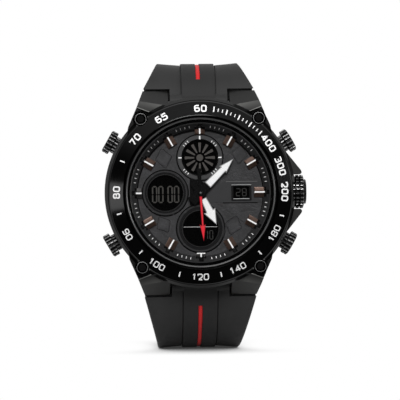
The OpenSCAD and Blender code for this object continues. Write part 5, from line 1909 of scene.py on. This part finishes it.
class Sky(Paint):
    """The world's node tree, made with the same node method as a material."""

    def __init__(self, tree: bpy.types.NodeTree) -> None:
        """Works on a world's own tree."""
        self.tree = tree
        self.x, self.y, self.z = self.split(self.node("TexCoord").outputs["Generated"])

    def build(self) -> None:
        """Adds the gradient and the white ground."""
        camera, diffuse, glossy, through = self.rays()
        back = self.ease(self.y, 0.3, 0.62) * self.ease(self.z, 0.3, 0.55)
        under = diffuse * (1 - self.ease(self.z, -0.4, 0.1)) * 0.5
        studio = 0.05 + back * 0.5 + under
        low = self.larger(glossy, through) * (1 - self.ease(self.z, 0.1, 0.35))
        strength = studio + self.larger(camera, low) * (1 - studio)
        background = self.node("Background", {}, {"Color": grey(1), "Strength": strength})
        self.node("OutputWorld", {}, {"Surface": background.outputs[0]})


@dataclass
class Studio:
    """Camera, lamps, world and floor."""

    distance: float = 0.8
    across: float = 0.099
    roll: float = 0.67
    lean: float = 2.2
    aim: Point = (-0.00018, -0.00182, 0.0116)
    ground_y: float = CAD_BOX[0][1] - 0.0001
    ground_half: float = 0.3
    ground_z: Flat = (-0.4, 0.02)
    shadow_reach: float = 0.026
    shadow: Flat = (-0.12, 0.9)

    def camera(self) -> None:
        """Sets the camera straight above the dial, as the photograph was taken."""
        data = bpy.data.cameras.new("camera")
        data.sensor_width = 36
        data.lens = data.sensor_width * self.distance / self.across
        data.clip_start, data.clip_end = 0.01, 20
        camera = bpy.data.objects.new("camera", data)
        lean = math.radians(self.lean)
        camera.location = Vector(self.aim) + Vector((-math.sin(lean), 0, math.cos(lean))) * self.distance
        turn = Matrix.Rotation(-lean, 3, "Y") @ Matrix.Rotation(-math.radians(self.roll), 3, "Z")
        camera.rotation_euler = turn.to_euler()
        bpy.context.scene.collection.objects.link(camera)
        bpy.context.scene.camera = camera

    def lamp(self, name: str, place: Point, size: Flat, power: float) -> None:
        """Adds a soft rectangular lamp aimed at the watch.

        Args:
            name: Its name.
            place: Where it hangs, in metres.
            size: Its width and height in metres.
            power: Its power in watts.
        """
        data = bpy.data.lights.new(name, "AREA")
        data.shape = "RECTANGLE"
        data.size, data.size_y = size
        data.energy = power
        lamp = bpy.data.objects.new(name, data)
        lamp.location = place
        lamp.rotation_euler = (-Vector(place)).to_track_quat("-Z", "Y").to_euler()
        bpy.context.scene.collection.objects.link(lamp)

    def ground_paint(self) -> bpy.types.Material:
        """White to the eye with the strap's contact shadow, matt in the light, and clear from behind.

        Returns:
            The material.
        """
        paint = Paint("floor_white")
        camera, _, glossy, through = paint.rays()
        tone = paint.blend(paint.noise(0.01), grey(0.62), grey(0.65))
        matt = paint.node("BsdfDiffuse", {}, {"Color": tone}).outputs[0]
        near = paint.node("AmbientOcclusion", {"samples": 16}, {"Distance": self.shadow_reach}).outputs["AO"]
        strength = paint.ease(Value(paint, near), *self.shadow)
        white = paint.node("Emission", {}, {"Color": grey(1), "Strength": strength}).outputs[0]
        seen = paint.maths("MINIMUM", camera + glossy + through, 1.0)
        front = paint.node("MixShader", {}, {0: seen, 1: matt, 2: white}).outputs[0]
        behind = Value(paint, paint.node("NewGeometry").outputs["Backfacing"])
        clear = paint.node("BsdfTransparent").outputs[0]
        both = paint.node("MixShader", {}, {0: behind, 1: front, 2: clear}).outputs[0]
        paint.node("OutputMaterial", {}, {"Surface": both})
        return paint.material

    def floor(self) -> None:
        """Adds the white ground on the 6 o'clock side, on which the watch stands."""
        data = bpy.data.meshes.new("floor")
        y, side, (far, near) = self.ground_y, self.ground_half, self.ground_z
        data.from_pydata([(-side, y, near), (side, y, near), (side, y, far), (-side, y, far)], [], [(0, 1, 2, 3)])
        data.materials.append(self.ground_paint())
        floor = bpy.data.objects.new("floor", data)
        bpy.context.scene.collection.objects.link(floor)
        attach(floor, "strap_lower")

    def world(self) -> None:
        """Sets the world: white to the camera and low down, dim overhead, brighter towards 12, soft from below."""
        world = bpy.data.worlds.new("studio")
        bpy.context.scene.world = world
        world.use_nodes = True
        world.node_tree.nodes.clear()
        Sky(world.node_tree).build()

    def build(self) -> None:
        """Sets up the studio."""
        self.camera()
        self.floor()
        self.world()
        self.lamp("lamp_top", (-0.05, 0.42, 0.7), (0.3, 0.3), 6.4)
        self.lamp("lamp_left", (-0.62, -0.02, 0.5), (0.2, 0.2), 0.34)
        self.lamp("lamp_right", (0.78, 0.16, 0.32), (0.25, 0.4), 1.2)
        bpy.context.scene.view_settings.view_transform = "Standard"


def straps() -> list[Strap | Keeper]:
    """The strap's two halves and its loop.

    Returns:
        The three.
    """
    heel, drop, length = (3.4, 0), 65, 160
    upper_r, lower_r, tail_half_t, end_r = 8.55, 20.6, 1.3, 2.2
    fall = math.radians(drop)
    lower = Run((heel, (lower_r * fall, drop), (23.3, 7), (36.2, 83), (15.1, 0)))
    bend = Run((heel, (upper_r * fall, drop)))
    rise = lower.at(lower.length)[1] - tail_half_t + end_r - bend.at(bend.length)[1]
    lean = math.degrees(math.acos(rise / length)) - 90
    upper = Run((*bend.stretches, (length * math.radians(lean), lean)))
    return [
        Strap(Half.TWELVE, upper, taper=bend.length, end_w=19.6, stripe_to=38, name="12", body="strap_upper"),
        Strap(Half.SIX, lower, taper=heel[0] + lower_r * fall, end_w=18.6, stripe_to=46, name="6", body="strap_lower"),
        Keeper(upper, upper.length - 15),
    ]


def hands() -> list[Hand]:
    """The three hands at their places at rest.

    Returns:
        The hands.
    """
    return [
        Hand(
            "hour", low=9.8, degrees=153.7, start=1.65, reach=9.0, barb_r=5.0, barb_w=3.25, shaft=(1.5, 1.9),
            tail=3.3, tail_w=(2.0, 2.8), hub_r=1.5,
        ),
        Hand(
            "minute", low=10.25, degrees=44.9, start=2.6, reach=11.65, barb_r=7.9, barb_w=2.5, shaft=(2.0, 1.6),
            tail=3.3, tail_w=(2.0, 2.6), hub_r=1.35,
        ),
        Hand(
            "second", low=10.75, degrees=176.7, start=0.95, reach=12.1, barb_r=7.9, barb_w=1.5, shaft=(0.7, 0.5),
            tail=6.0, tail_w=(0.5, 1.1), hub_r=0.62, paint=RED, slot="hand_red",
        ),
    ]


def main() -> None:
    """Builds and dresses every sub-assembly, then the studio."""
    logging.basicConfig(level=logging.INFO, format="%(message)s")
    parts = [Case(), Bezel(), Dial(), SmallDials(), *hands(), Controls(), Movement(), *straps(), Buckle(), Studio()]
    for part in parts:
        part.build()
        log.info("done: %s", type(part).__name__)


if __name__ == "__main__":
    main()
